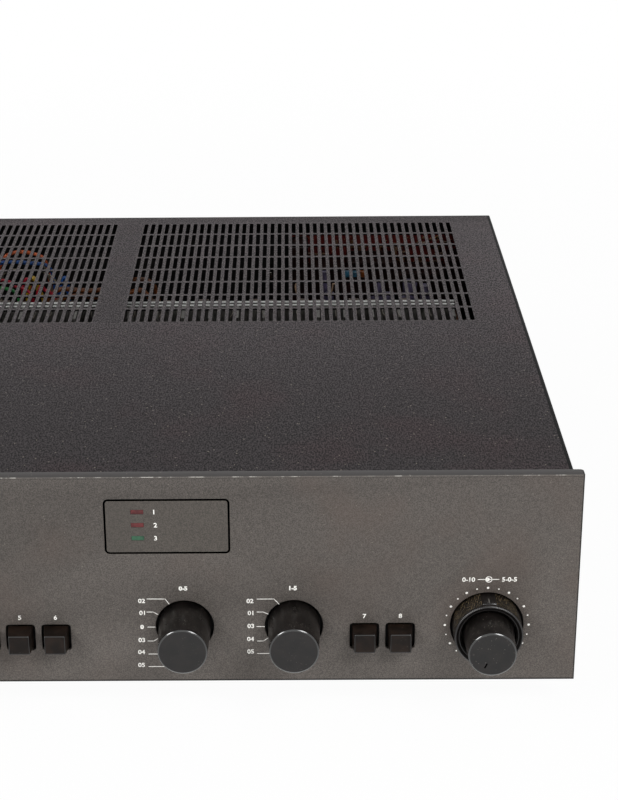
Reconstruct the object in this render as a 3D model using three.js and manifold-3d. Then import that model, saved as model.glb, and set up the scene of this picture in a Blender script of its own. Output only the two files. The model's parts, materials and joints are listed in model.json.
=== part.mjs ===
// A full-width stereo amplifier: perforated steel cover, front panel with eight push buttons, four
// knobs and a volume knob inside a balance ring, and the chassis, boards and power supply within.
// Millimetres. +X is the right of the panel, the panel faces -Y, +Z is up and the feet stand on Z 0.
import * as THREE from "three";
import { mergeGeometries, mergeVertices } from "three/addons/utils/BufferGeometryUtils.js";
import Module from "manifold-3d";

const wasm = await Module();
wasm.setup();

// Whole amplifier
const panelWidth = 420;
const panelHeight = 96;
const panelClearance = 12;
const bodyDepth = 350;

// Fits
const seatGap = 0.3;
const slipGap = 0.3;
const lensGap = 0.15;
const cutOverrun = 1;
const mergeTolerance = 1e-3;

// Sheet metal
const sheet = 1.2;
const bendRadius = 2.6;

// Front panel
const panelWebThickness = 2.2;
const panelDepth = 5.3;
const rimThickness = 2;
const panelChamfer = 0.4;
const panelBossRadius = 4;
const panelBossInset = 12;
const panelOverhang = 3.6;

// Top cover and its vents
const lipRise = 0.6;
const coverFlange = 8;
const ventSideGap = 24;
const ventRows = 8;
const rowsPerSlot = 2;
const ventPitch = 4;
const ventRowPitch = 19.88;
const ventWidth = 2.35;
const ventLength = 17.1;
const ventInnerGap = 8.86;
const ventBackGap = 22.8;

// Base tray
const trayRise = 1.5;
const trayFlange = 14;
const wallInset = 3;
const wallFlange = 10;
const standoffRadius = 3.5;
const standoffHeight = 10;
const standoffInset = 8;
const trayVentCount = 6;
const trayVentPitch = 11;
const trayVentWidth = 4;
const trayVentLength = 34;
const trayVentX = 95;

// Feet
const footRadius = 19;
const footTopRadius = 17;
const footChamfer = 1;
const footInsetX = 34;
const footInsetFront = 42;
const footInsetBack = 42;
const footSpigotRadius = 2.8;
const footSpigotRise = 1.5;

// Places of the controls: heights from the panel's lower edge, and shares of its width from its middle
const knobHeight = 26.6;
const buttonHeight = 21.5;
const buttonPitch = 15;
const powerInset = 16;
const jackPitch = 15.5;
const speakersPitch = 23;
const placeShares = {
  bass: -0.2619,
  treble: -0.1571,
  filters: -0.0564,
  window: 0.0936,
  record: 0.10845,
  listen: 0.2175,
  levels: 0.3058,
  volume: 0.41,
};

// Small knobs
const knobReach = 21.2;
const knobFaceRadius = 9.95;
const knobBaseRadius = 11.1;
const knobBevel = 0.6;
const knobTail = 2.4;
const knobHoleRadius = 12.25;
const shaftRadius = 3;
const shaftFlatHeight = 2;
const shaftEngagement = 15;

// Volume knob and balance ring
const volumeReach = 24.4;
const volumeFaceRadius = 9.6;
const volumeBaseRadius = 10.9;
const volumeHoleRadius = 15.4;
const volumeShaftRadius = 2;
const volumeShaftFlatHeight = 1.3;
const volumeRest = -150;
const tickWidth = 0.9;
const tickLength = 2.8;
const tickDepth = 0.4;
const tickInset = 1.1;
const ringReach = 10.1;
const ringRadius = 14.1;
const ringBaseRadius = 14.5;
const ringBoreRadius = 11.5;
const ringFloor = 2;
const ringBevel = 0.7;
const ringPadWidth = 5.8;
const ringPadRise = 0.35;
const ringPadInset = 1.4;
const ringLineWidth = 0.7;
const sleeveRadius = 3.5;

// Push buttons
const buttonReach = 6.8;
const buttonFaceWidth = 9;
const buttonBaseWidth = 10.1;
const buttonBevel = 0.6;
const buttonTail = 1.2;
const buttonTravel = 4;
const recessWidth = 12.4;
const recessRadius = 1.5;
const stemWidth = 4;
const stemEngagement = 5;

// Controls behind the wall
const nutAcross = 12;
const nutThickness = 1.7;
const bushRadius = 4.5;
const potRadius = 8.5;
const potLength = 11;
const selectorRadius = 13;
const selectorLength = 20;
const volumePotRadius = 12.5;
const volumePotLength = 27;
const bankHeight = 15;
const bankPlate = 1.2;
const bankMargin = 0.8;
const switchWidth = 10.4;
const switchHeight = 12;
const switchLength = 26;

// Headphone socket
const jackBushRadius = 5.6;
const jackProud = 1.2;
const jackBoreRadius = 3.3;
const jackBoreDepth = 26;
const jackBodyWidth = 15;
const jackBodyHeight = 15;
const jackBodyLength = 27;

// Status window, lamps and their board
const windowDrop = 22.6;
const windowWidth = 51.2;
const windowHeight = 24.4;
const windowRadius = 2;
const windowRecess = 1.2;
const windowLedgeWidth = 2.4;
const lampInset = 13.5;
const lampPitch = 6;
const lampRise = 6.7;
const lampWidth = 5.3;
const lampHeight = 2.05;
const lampBoardThickness = 1.2;

// Heat sink and output transistors
const sinkBackGap = 134.5;
const sinkSideGap = 28.1;
const sinkHeadroom = 10.4;
const finLength = 18;
const finThickness = 1.8;
const finPitch = 14;
const sinkBarThickness = 7;
const sinkGroove = 2.6;
const sinkGrooveDepth = 4;
const transistorWidth = 15.6;
const transistorHeight = 20;
const transistorDepth = 4.8;
const transistorRise = 22;
const transistorPitchShare = 0.205;
const transistorCount = 4;
const legWidth = 1.2;
const legPitch = 5.4;

// Circuit boards
const boardThickness = 1.6;
const boardSideGap = 8.1;
const ampBoardRearGap = 18.5;
const frontBoardsGap = 54.9;
const supplyBackGap = 35.5;
const supplyCoilGap = 13;
const preampBackGap = 17.5;
const preampOffset = 5;
const boardsGap = 25;
const inputBoardWidth = 104;
const inputBoardHeight = 56;
const inputHeadroom = 6.9;

// Transformer: a core of laminations whose outline is five units high and six long
const transformerSideGap = 9.1;
const coreHeightShare = 0.86;
const coreHeightUnits = 5;
const coreDepthUnits = 6;
const coreLegUnits = 2;
const coreStack = 44;
const coilWall = 13;
const coreFlange = 9;
const coreFlangeThickness = 3;

// Filter capacitors
const capacitorRadius = 17;
const capacitorHeight = 50;
const capacitorPitch = 40;
const capacitorRim = 1.2;

// Back of the case
const rearFlange = 12;
const blockPlate = 1.8;
const blockBoss = 5;
const blockMargin = 4;
const socketColumns = 7;
const socketPitch = 14;
const socketRadius = 4.2;
const socketBoreRadius = 2.6;
const socketReach = 9;
const connectorSideGap = 10.9;
const connectorDrop = 35.4;
const postColumns = 4;
const postPitch = 19;
const postRadius = 5;
const postReach = 12;
const postBlockShare = -0.0476;
const glandSideGap = 28.1;
const glandHeight = 30;
const glandFlangeRadius = 9;
const glandNeckRadius = 6;
const glandBoreRadius = 3.6;
const glandReach = 7;
const glandTail = 9;
const groundGap = 14.8;
const groundKnobRadius = 5.5;
const groundKnobReach = 9;
const groundStudRadius = 2;
const groundStudTail = 6;

// Facets round a circle
const knobSides = 24;
const holeSides = 20;
const footSides = 12;
const partSides = 12;
const rodSides = 8;
const bendSteps = 4;
const cornerSteps = 2;

// Values worked out from the sizes above. Y is counted from the panel's front face.
const coverWidth = panelWidth - 2 * panelOverhang;
const panelBase = panelClearance;
const panelTop = panelBase + panelHeight;
const coverTop = panelTop - lipRise;
const trayBase = panelBase + trayRise;
const trayTop = trayBase + sheet;
const floorSeat = trayTop + seatGap;
const wallFront = panelDepth + seatGap;
const wallBack = wallFront + sheet;
const behindWall = wallBack + seatGap;
const coverInside = coverWidth / 2 - sheet;
const trayHalf = coverInside - seatGap;
const underCover = coverTop - sheet - seatGap;
const rearOuter = bodyDepth - sheet - seatGap;
const rearInner = rearOuter - sheet;
const boardSeat = trayTop + standoffHeight + seatGap;
const boardTop = boardSeat + boardThickness;
const knobZ = panelBase + knobHeight;
const buttonZ = panelBase + buttonHeight;
const powerX = powerInset - panelWidth / 2;
const headphoneX = powerX + jackPitch;
const speakersX = headphoneX + speakersPitch;
const volumeX = placeShares.volume * panelWidth;
const windowX = placeShares.window * panelWidth;
const windowZ = panelTop - windowDrop;
const ventColumns = Math.floor((coverWidth / 2 - ventSideGap - ventInnerGap) / ventPitch) + 1;
const sinkWidth = 2 * (trayHalf - sinkSideGap);
const sinkFront = bodyDepth - sinkBackGap;
const sinkBack = sinkFront + finLength + sinkBarThickness;
const sinkHeight = underCover - floorSeat - sinkHeadroom;
const ampBoardY = sinkBack + seatGap;
const coreHeight = coreHeightShare * (underCover - floorSeat);
const coreUnit = coreHeight / coreHeightUnits;
const coreDepth = coreDepthUnits * coreUnit;
const coreLeg = coreLegUnits * coreUnit;
const transformerX = transformerSideGap + coilWall + coreStack / 2 - trayHalf;
const transformerY = (behindWall + sinkFront) / 2;
const frontBoardsY = behindWall + frontBoardsGap;
const supplyLeft = transformerX + coreStack / 2 + coilWall + supplyCoilGap;
const supplyRight = preampOffset - boardsGap;
const boardsRight = trayHalf - boardSideGap;
const ampBoardBack = rearInner - ampBoardRearGap;
const supplyBack = sinkFront - supplyBackGap;
const preampBack = sinkFront - preampBackGap;
const postBlockX = postBlockShare * panelWidth;
const socketBlockHalf = ((socketColumns - 1) * socketPitch) / 2 + socketRadius + blockMargin;
const socketBlockX = trayHalf - connectorSideGap - socketBlockHalf;
const groundX = socketBlockX - socketBlockHalf - groundGap;
const glandX = glandSideGap - trayHalf;
const glandZ = panelBase + glandHeight;
const connectorZ = coverTop - connectorDrop;
const frontReach = volumeReach;
const backReach = rearOuter + postReach;
const squareSides = 4;
const hexSides = 6;
// A lathe's radius reaches its corners, so a square's side is half of its radius times this.
const squareCorner = Math.SQRT2;

// The amplifier and, inside it, everything that is placed from the panel's front face
const amplifier = new THREE.Group();
const body = new THREE.Group();
body.position.y = (frontReach - backReach) / 2;
amplifier.add(body);

// Finishes
function finish(color, roughness, metalness) {
  return new THREE.MeshStandardMaterial({ color, roughness, metalness });
}

const panelPaint = finish(0x5c5751, 0.55, 0.35);
const coverPaint = finish(0x434142, 0.7, 0.2);
const chassisSteel = finish(0x2b2b2c, 0.6, 0.5);
const knobPlastic = finish(0x2a2928, 0.45, 0);
const buttonPlastic = finish(0x2e2c2b, 0.5, 0);
const footPlastic = finish(0x1c1c1c, 0.8, 0);
const windowPlastic = finish(0x534e49, 0.4, 0);
const redLamp = finish(0x7c2320, 0.35, 0);
const greenLamp = finish(0x1f6a3c, 0.35, 0);
const plainSteel = finish(0x9a9a9c, 0.35, 0.9);
const canMetal = finish(0x8d8d90, 0.4, 0.8);
const blackPlastic = finish(0x1a1a1b, 0.5, 0);
const brownBoard = finish(0x4a2a1c, 0.6, 0);
const redBoard = finish(0x4c1d16, 0.6, 0);
const sinkAluminium = finish(0xa9abad, 0.45, 0.85);
const coreSteel = finish(0x3a3a3c, 0.55, 0.6);
const coilTape = finish(0xb08a3a, 0.6, 0);
const capacitorSleeve = finish(0x23305a, 0.45, 0);
const brassMetal = finish(0xb5953f, 0.35, 0.85);

// Solids and geometries
function solidOf(geometry) {
  const bare = geometry.clone();
  bare.deleteAttribute("normal");
  bare.deleteAttribute("uv");
  const merged = mergeVertices(bare, mergeTolerance);
  const source = new wasm.Mesh({
    numProp: 3,
    vertProperties: merged.attributes.position.array,
    triVerts: new Uint32Array(merged.index.array),
  });
  return new wasm.Manifold(source);
}

function geometryOf(solid) {
  const mesh = solid.getMesh();
  const indexed = new THREE.BufferGeometry();
  indexed.setAttribute("position", new THREE.BufferAttribute(mesh.vertProperties, mesh.numProp));
  indexed.setIndex(new THREE.BufferAttribute(mesh.triVerts, 1));
  const flat = indexed.toNonIndexed();
  flat.computeVertexNormals();
  return flat;
}

function join(...geometries) {
  return geometryOf(geometries.map(solidOf).reduce((sum, next) => sum.add(next)));
}

function cut(geometry, ...cutters) {
  return geometryOf(cutters.map(solidOf).reduce((left, next) => left.subtract(next), solidOf(geometry)));
}

function common(first, second) {
  return geometryOf(solidOf(first).intersect(solidOf(second)));
}

function at(geometry, x, y, z) {
  return geometry.clone().translate(x, y, z);
}

// A block with its middle at x, from y to y + depth and from z to z + height
function block(width, depth, height, x, y, z) {
  return new THREE.BoxGeometry(width, depth, height).translate(x, y + depth / 2, z + height / 2);
}

// A profile of [radius, y] points turned about Y: its outer side runs towards the back
function turned(profile, sides) {
  const points = profile.map(([radius, y]) => new THREE.Vector2(radius, y));
  return new THREE.LatheGeometry(points, sides, sides === squareSides ? Math.PI / 4 : 0);
}

// A rod along Y from y to y + length
function rod(radius, y, length, sides) {
  return new THREE.CylinderGeometry(radius, radius, length, sides).translate(0, y + length / 2, 0);
}

// A cutter along Y for a round way with its axis at x and z, from y to y + length with an overrun each end
function roundWay(radius, x, z, y, length, sides) {
  return rod(radius, y - cutOverrun, length + 2 * cutOverrun, sides).translate(x, 0, z);
}

// A post along Z from z to z + height
function post(radius, x, y, z, height, sides) {
  const upright = new THREE.CylinderGeometry(radius, radius, height, sides).rotateX(Math.PI / 2);
  return upright.translate(x, y, z + height / 2);
}

// A shape drawn in X and Z, from y to y + depth
function extrudeBack(shape, y, depth, curveSegments = bendSteps) {
  const made = new THREE.ExtrudeGeometry(shape, { depth, bevelEnabled: false, curveSegments });
  return made.rotateX(Math.PI / 2).translate(0, y + depth, 0);
}

// A shape drawn in Y and Z, from x to x + depth
function extrudeAcross(shape, x, depth, curveSegments = bendSteps) {
  const made = new THREE.ExtrudeGeometry(shape, { depth, bevelEnabled: false, curveSegments });
  return made.rotateX(Math.PI / 2).rotateZ(Math.PI / 2).translate(x, 0, 0);
}

// A shape drawn in X and Y, from z to z + depth
function extrudeUp(shape, z, depth, curveSegments = bendSteps) {
  const made = new THREE.ExtrudeGeometry(shape, { depth, bevelEnabled: false, curveSegments });
  return made.translate(0, 0, z);
}

function rectangle(width, height, x, z) {
  const shape = new THREE.Shape();
  shape.moveTo(x - width / 2, z - height / 2);
  shape.lineTo(x + width / 2, z - height / 2);
  shape.lineTo(x + width / 2, z + height / 2);
  shape.lineTo(x - width / 2, z + height / 2);
  shape.closePath();
  return shape;
}

function roundedRectangle(width, height, radius, x, z) {
  const right = x + width / 2;
  const left = x - width / 2;
  const top = z + height / 2;
  const bottom = z - height / 2;
  const quarter = Math.PI / 2;
  const shape = new THREE.Shape();
  shape.absarc(right - radius, bottom + radius, radius, -quarter, 0);
  shape.absarc(right - radius, top - radius, radius, 0, quarter);
  shape.absarc(left + radius, top - radius, radius, quarter, 2 * quarter);
  shape.absarc(left + radius, bottom + radius, radius, 2 * quarter, 3 * quarter);
  shape.closePath();
  return shape;
}

// A rod from y to y + length with one flat on its upper side, flatLength long from its front
function flattedRod(radius, flat, y, length, flatLength = length + cutOverrun) {
  const above = block(2 * radius, flatLength + cutOverrun, radius, 0, y - cutOverrun, flat);
  return cut(rod(radius, y, length, rodSides), above);
}

function addPiece(name, geometry, material, parent = body) {
  const piece = new THREE.Mesh(geometry, material);
  piece.name = name;
  parent.add(piece);
  return piece;
}

// A group inside the body at a place of its own, for what is modelled round that place
function placedAt(x, y, z) {
  const group = new THREE.Group();
  group.position.set(x, y, z);
  body.add(group);
  return group;
}

// Controls that the panel and the wall behind it make room for
const smallKnobs = [
  { name: "bass", bodyRadius: potRadius, bodyLength: potLength },
  { name: "treble", bodyRadius: potRadius, bodyLength: potLength },
  { name: "record", bodyRadius: selectorRadius, bodyLength: selectorLength },
  { name: "listen", bodyRadius: selectorRadius, bodyLength: selectorLength },
].map((knob) => ({ ...knob, x: placeShares[knob.name] * panelWidth }));
const buttonBanks = [
  { name: "power", x: powerX, buttons: ["power"] },
  { name: "speakers", x: speakersX, buttons: ["speakers_a", "speakers_b"] },
  { name: "filters", x: placeShares.filters * panelWidth, buttons: ["tone_defeat", "infrasonic", "mono"] },
  { name: "levels", x: placeShares.levels * panelWidth, buttons: ["low_level", "loudness"] },
];

// Boards that lie on posts of the tray, each from left to right and from front to back
const flatBoards = [
  { name: "amplifier", left: -boardsRight, right: boardsRight, front: ampBoardY, back: ampBoardBack },
  { name: "supply", left: supplyLeft, right: supplyRight, front: frontBoardsY, back: supplyBack },
  { name: "preamp", left: preampOffset, right: boardsRight, front: frontBoardsY, back: preampBack },
];

function buttonX(bank, index) {
  return bank.x + (index - (bank.buttons.length - 1) / 2) * buttonPitch;
}

function everyButton() {
  return buttonBanks.flatMap((bank) => {
    return bank.buttons.map((name, index) => ({ name, x: buttonX(bank, index) }));
  });
}

// Front panel: a chamfered slab, hollow behind, with an opening for each control
function frontPanel() {
  const outline = rectangle(panelWidth, panelHeight, 0, panelBase + panelHeight / 2);
  const slab = new THREE.ExtrudeGeometry(outline, {
    depth: panelDepth - 2 * panelChamfer,
    bevelThickness: panelChamfer,
    bevelSize: panelChamfer,
    bevelOffset: -panelChamfer,
    bevelSegments: 1,
  });
  slab.rotateX(Math.PI / 2).translate(0, panelDepth - panelChamfer, 0);
  const hollowWide = panelWidth - 2 * rimThickness;
  const hollowTall = panelHeight - 2 * rimThickness;
  const hollow = block(hollowWide, panelDepth, hollowTall, 0, panelWebThickness, panelBase + rimThickness);
  const through = panelWebThickness + 2 * cutOverrun;
  const openings = smallKnobs.map((knob) => {
    return roundWay(knobHoleRadius, knob.x, knobZ, 0, panelWebThickness, holeSides);
  });
  openings.push(roundWay(volumeHoleRadius, volumeX, knobZ, 0, panelWebThickness, holeSides));
  openings.push(roundWay(jackBushRadius + slipGap, headphoneX, buttonZ, 0, panelWebThickness, partSides));
  const recess = roundedRectangle(recessWidth, recessWidth, recessRadius, 0, 0);
  for (const button of everyButton()) {
    openings.push(at(extrudeBack(recess, -cutOverrun, through, cornerSteps), button.x, 0, buttonZ));
  }
  const seat = roundedRectangle(windowWidth, windowHeight, windowRadius, windowX, windowZ);
  openings.push(extrudeBack(seat, -cutOverrun, windowRecess + cutOverrun, cornerSteps));
  const lampWayWidth = windowWidth - 2 * windowLedgeWidth;
  const lampWayHeight = windowHeight - 2 * windowLedgeWidth;
  const lampWay = rectangle(lampWayWidth, lampWayHeight, windowX, windowZ);
  openings.push(extrudeBack(lampWay, -cutOverrun, through));
  const boss = rod(panelBossRadius, panelWebThickness / 2, panelDepth - panelWebThickness / 2, rodSides);
  const bosses = [-1, 1].flatMap((side) => {
    const x = side * (panelWidth / 2 - panelBossInset);
    return [at(boss, x, 0, panelBase + panelBossInset), at(boss, x, 0, panelTop - panelBossInset)];
  });
  return join(cut(slab, hollow, ...openings), ...bosses);
}

// One outline of the cover from the front, standing on the tray's underside
function coverFrontOutline(inset, top, bottom) {
  const half = coverWidth / 2 - inset;
  const radius = bendRadius - inset;
  const shape = new THREE.Shape();
  shape.moveTo(-half, bottom);
  shape.lineTo(half, bottom);
  shape.absarc(half - radius, top - radius, radius, 0, Math.PI / 2);
  shape.absarc(-half + radius, top - radius, radius, Math.PI / 2, Math.PI);
  shape.closePath();
  return shape;
}

// One outline of the cover from the side, rounded at its top back edge
function coverSideOutline(inset, front, top, bottom) {
  const back = bodyDepth - inset;
  const radius = bendRadius - inset;
  const shape = new THREE.Shape();
  shape.moveTo(front, bottom);
  shape.lineTo(back, bottom);
  shape.absarc(back - radius, top - radius, radius, 0, Math.PI / 2);
  shape.lineTo(front, top);
  shape.closePath();
  return shape;
}

// Slots of both groups, each as long as the rows that share it
function ventCutters() {
  const slots = [];
  const length = ventLength + (rowsPerSlot - 1) * ventRowPitch;
  for (const side of [-1, 1]) {
    for (let column = 0; column < ventColumns; column += 1) {
      for (let row = 0; row < ventRows; row += rowsPerSlot) {
        const x = side * (ventInnerGap + column * ventPitch);
        const y = bodyDepth - ventBackGap - row * ventRowPitch + ventLength / 2 - length;
        slots.push(block(ventWidth, length, sheet + 2 * cutOverrun, x, y, coverTop - sheet - cutOverrun));
      }
    }
  }
  return mergeGeometries(slots);
}

// Top cover: top, two sides and a short back flange bent from one sheet
function topCover() {
  const bottom = trayBase;
  const front = wallFront;
  const outer = common(
    extrudeBack(coverFrontOutline(0, coverTop, bottom), front, bodyDepth - front),
    extrudeAcross(coverSideOutline(0, front, coverTop, bottom), -coverWidth / 2, coverWidth),
  );
  const low = bottom - cutOverrun;
  const open = front - cutOverrun;
  const inner = common(
    extrudeBack(coverFrontOutline(sheet, coverTop - sheet, low), open, bodyDepth - sheet - open),
    extrudeAcross(coverSideOutline(sheet, open, coverTop - sheet, low), -coverInside, 2 * coverInside),
  );
  const backTall = coverTop - coverFlange - low;
  const backOpening = block(2 * coverInside, 2 * bendRadius, backTall, 0, bodyDepth - bendRadius, low);
  return cut(outer, inner, backOpening, ventCutters());
}

// Places of the posts that carry each board
function boardPosts() {
  return flatBoards.flatMap((board) => {
    const rows = [board.front + standoffInset, board.back - standoffInset];
    return rows.flatMap((y) => [[board.left + standoffInset, y], [board.right - standoffInset, y]]);
  });
}

function footPlaces() {
  const x = panelWidth / 2 - footInsetX;
  return [
    { name: "foot_front_left", x: -x, y: footInsetFront },
    { name: "foot_front_right", x, y: footInsetFront },
    { name: "foot_rear_left", x: -x, y: bodyDepth - footInsetBack },
    { name: "foot_rear_right", x, y: bodyDepth - footInsetBack },
  ];
}

// Base tray: a bent channel with a front wall, the boards' posts and the bottom vents
function baseTray() {
  const depth = rearInner - seatGap - wallFront;
  const channel = new THREE.Shape();
  const inside = trayHalf - sheet;
  channel.moveTo(-trayHalf, trayBase + trayFlange);
  channel.absarc(-trayHalf + bendRadius, trayBase + bendRadius, bendRadius, Math.PI, 1.5 * Math.PI);
  channel.absarc(trayHalf - bendRadius, trayBase + bendRadius, bendRadius, -Math.PI / 2, 0);
  channel.lineTo(trayHalf, trayBase + trayFlange);
  channel.lineTo(inside, trayBase + trayFlange);
  channel.lineTo(inside, trayTop);
  channel.lineTo(-inside, trayTop);
  channel.lineTo(-inside, trayBase + trayFlange);
  channel.closePath();
  const wallWide = 2 * (trayHalf - wallInset);
  const wall = block(wallWide, sheet, underCover - trayBase, 0, wallFront, trayBase);
  const flange = block(wallWide, wallFlange, sheet, 0, wallFront, underCover - sheet);
  const postRoot = sheet / 2;
  const posts = boardPosts().map(([x, y]) => {
    return post(standoffRadius, x, y, trayTop - postRoot, standoffHeight + postRoot, hexSides);
  });
  const through = sheet + 2 * cutOverrun;
  const holes = [...smallKnobs.map((knob) => knob.x), volumeX].map((x) => {
    return roundWay(bushRadius + slipGap, x, knobZ, wallFront, sheet, rodSides);
  });
  holes.push(roundWay(jackBushRadius + slipGap, headphoneX, buttonZ, wallFront, sheet, partSides));
  const stemHole = stemWidth + 4 * slipGap;
  const holeFront = wallFront - cutOverrun;
  for (const button of everyButton()) {
    holes.push(block(stemHole, through, stemHole, button.x, holeFront, buttonZ - stemHole / 2));
  }
  for (const foot of footPlaces()) {
    holes.push(post(footSpigotRadius + slipGap, foot.x, foot.y, trayBase - cutOverrun, through, rodSides));
  }
  const firstVent = sinkFront + finLength / 2 - trayVentLength / 2;
  for (const side of [-1, 1]) {
    for (let index = 0; index < trayVentCount; index += 1) {
      const x = side * trayVentX + (index - (trayVentCount - 1) / 2) * trayVentPitch;
      holes.push(block(trayVentWidth, trayVentLength, through, x, firstVent, trayBase - cutOverrun));
    }
  }
  return cut(join(extrudeBack(channel, wallFront, depth), wall, flange, ...posts), ...holes);
}

// Foot: a tapered puck with a spigot through the tray
function foot() {
  const height = trayBase - seatGap;
  const spigotTop = trayTop + footSpigotRise;
  const profile = [
    [0, 0],
    [footRadius - footChamfer, 0],
    [footRadius, footChamfer],
    [footTopRadius, height],
    [footSpigotRadius, height],
    [footSpigotRadius, spigotTop],
    [0, spigotTop],
  ];
  return turned(profile, footSides).rotateX(Math.PI / 2);
}

// The bore that a knob's shaft sits in, from the knob's back end forwards
function flattedBore(radius, flat, back) {
  const front = back - shaftEngagement;
  return flattedRod(radius + slipGap, flat + slipGap, front, shaftEngagement + cutOverrun);
}

// Small knob: tapered, bevelled at its face, with a flatted bore from behind
function smallKnob() {
  const profile = [
    [0, -knobReach],
    [knobFaceRadius - knobBevel, -knobReach],
    [knobFaceRadius, -knobReach + knobBevel],
    [knobBaseRadius, knobTail],
    [0, knobTail],
  ];
  return cut(turned(profile, knobSides), flattedBore(shaftRadius, shaftFlatHeight, knobTail));
}

// A control's can with its threaded bush through the wall, its nut and the bore for what turns in it
function controlBody(radius, length, boreRadius, boreDepth) {
  const front = wallFront - seatGap - nutThickness;
  const boreEnd = behindWall + boreDepth;
  const end = behindWall + length;
  const profile = [
    [0, boreEnd],
    [boreRadius, boreEnd],
    [boreRadius, front],
    [bushRadius, front],
    [bushRadius, behindWall],
    [radius, behindWall],
    [radius, end],
    [0, end],
  ];
  const nut = rod(nutAcross / Math.sqrt(3), front, nutThickness, hexSides);
  const nutBore = roundWay((boreRadius + bushRadius) / 2, 0, 0, front, nutThickness, rodSides);
  return join(turned(profile, rodSides), cut(nut, nutBore));
}

function smallControls() {
  const knobFloor = knobTail - shaftEngagement;
  for (const control of smallKnobs) {
    const group = placedAt(control.x, 0, knobZ);
    const boreDepth = control.bodyLength - 2 * sheet;
    const shaftFront = knobFloor + seatGap;
    const shaftLength = behindWall + boreDepth - seatGap - shaftFront;
    const shaft = flattedRod(shaftRadius, shaftFlatHeight, shaftFront, shaftLength, shaftEngagement);
    const can = controlBody(control.bodyRadius, control.bodyLength, shaftRadius + slipGap, boreDepth);
    addPiece("knob_" + control.name, smallKnob(), knobPlastic, group);
    addPiece("shaft_" + control.name, shaft, plainSteel, group);
    addPiece("control_" + control.name, can, canMetal, group);
  }
}

// Volume knob with the black index on its face, at its lowest setting
function volumeKnob(tail) {
  const profile = [
    [0, -volumeReach],
    [volumeFaceRadius - knobBevel, -volumeReach],
    [volumeFaceRadius, -volumeReach + knobBevel],
    [volumeBaseRadius, tail],
    [0, tail],
  ];
  const bore = flattedBore(volumeShaftRadius, volumeShaftFlatHeight, tail);
  const tickTop = volumeFaceRadius - tickInset - tickLength;
  const tick = block(tickWidth, tickDepth + cutOverrun, tickLength, 0, -volumeReach - cutOverrun, tickTop);
  tick.rotateY((volumeRest * Math.PI) / 180);
  return cut(turned(profile, knobSides), bore, tick);
}

// Balance ring: a cup round the volume knob, with a raised pad and index line at its top
function balanceRing(floorFront) {
  const hubRadius = sleeveRadius + slipGap;
  const profile = [
    [ringBoreRadius, -ringReach],
    [ringRadius - ringBevel, -ringReach],
    [ringRadius, -ringReach + ringBevel],
    [ringBaseRadius, floorFront + ringFloor],
    [hubRadius, floorFront + ringFloor],
    [hubRadius, floorFront],
    [ringBoreRadius, floorFront],
    [ringBoreRadius, -ringReach],
  ];
  const padFront = -ringReach + ringPadInset;
  const padLow = ringRadius - ringBevel;
  const pad = block(ringPadWidth, -padFront, ringPadRise + ringBevel, 0, padFront, padLow);
  const lineLength = 2 * cutOverrun - padFront;
  const lineTall = ringPadRise + cutOverrun;
  const line = block(ringLineWidth, lineLength, lineTall, 0, padFront - cutOverrun, ringRadius);
  return cut(join(turned(profile, knobSides), pad), line);
}

function volumeControl() {
  const group = placedAt(volumeX, 0, knobZ);
  const ringFloorFront = knobTail - ringFloor;
  const volumeTail = ringFloorFront - seatGap;
  const boreDepth = volumePotLength - 2 * sheet;
  const deepest = behindWall + boreDepth - seatGap;
  const front = volumeTail - shaftEngagement + seatGap;
  const shaft = flattedRod(volumeShaftRadius, volumeShaftFlatHeight, front, deepest - front, shaftEngagement);
  const sleeveLength = deepest - ringFloorFront;
  const sleeve = cut(
    rod(sleeveRadius, ringFloorFront, sleeveLength, partSides),
    roundWay(volumeShaftRadius + slipGap, 0, 0, ringFloorFront, sleeveLength, partSides),
  );
  const can = controlBody(volumePotRadius, volumePotLength, sleeveRadius + slipGap, boreDepth);
  addPiece("knob_volume", volumeKnob(volumeTail), knobPlastic, group);
  addPiece("ring_balance", balanceRing(ringFloorFront), knobPlastic, group);
  addPiece("shaft_volume", shaft, plainSteel, group);
  addPiece("sleeve_balance", sleeve, brassMetal, group);
  addPiece("control_volume", can, canMetal, group);
}

// Push button: a tapered square cap, bevelled at its face, on the square stem that works its switch
function pushButton() {
  const face = (buttonFaceWidth / 2) * squareCorner;
  const base = (buttonBaseWidth / 2) * squareCorner;
  const stem = (stemWidth / 2) * squareCorner;
  const stemEnd = behindWall + bankPlate + stemEngagement;
  const profile = [
    [0, -buttonReach],
    [face - buttonBevel * squareCorner, -buttonReach],
    [face, -buttonReach + buttonBevel],
    [base, buttonTail],
    [stem, buttonTail],
    [stem, stemEnd],
    [0, stemEnd],
  ];
  return turned(profile, squareSides);
}

// A bank of push switches on one plate behind the wall
function switchBank(bank) {
  const stemWay = stemWidth + 2 * slipGap;
  const wayDepth = bankPlate + stemEngagement + buttonTravel + 2 * sheet;
  const plateWide = bank.buttons.length * buttonPitch - 2 * bankMargin;
  const plate = block(plateWide, bankPlate, bankHeight, bank.x, behindWall, buttonZ - bankHeight / 2);
  const wayFront = behindWall - cutOverrun;
  const pieces = [];
  const ways = [];
  bank.buttons.forEach((name, index) => {
    const x = buttonX(bank, index);
    pieces.push(block(switchWidth, switchLength, switchHeight, x, behindWall, buttonZ - switchHeight / 2));
    ways.push(block(stemWay, wayDepth + cutOverrun, stemWay, x, wayFront, buttonZ - stemWay / 2));
  });
  return cut(join(plate, ...pieces), ...ways);
}

function pushButtons() {
  for (const button of everyButton()) {
    addPiece("button_" + button.name, pushButton(), buttonPlastic, placedAt(button.x, 0, buttonZ));
  }
  for (const bank of buttonBanks) {
    addPiece("switches_" + bank.name, switchBank(bank), blackPlastic);
  }
}

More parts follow.
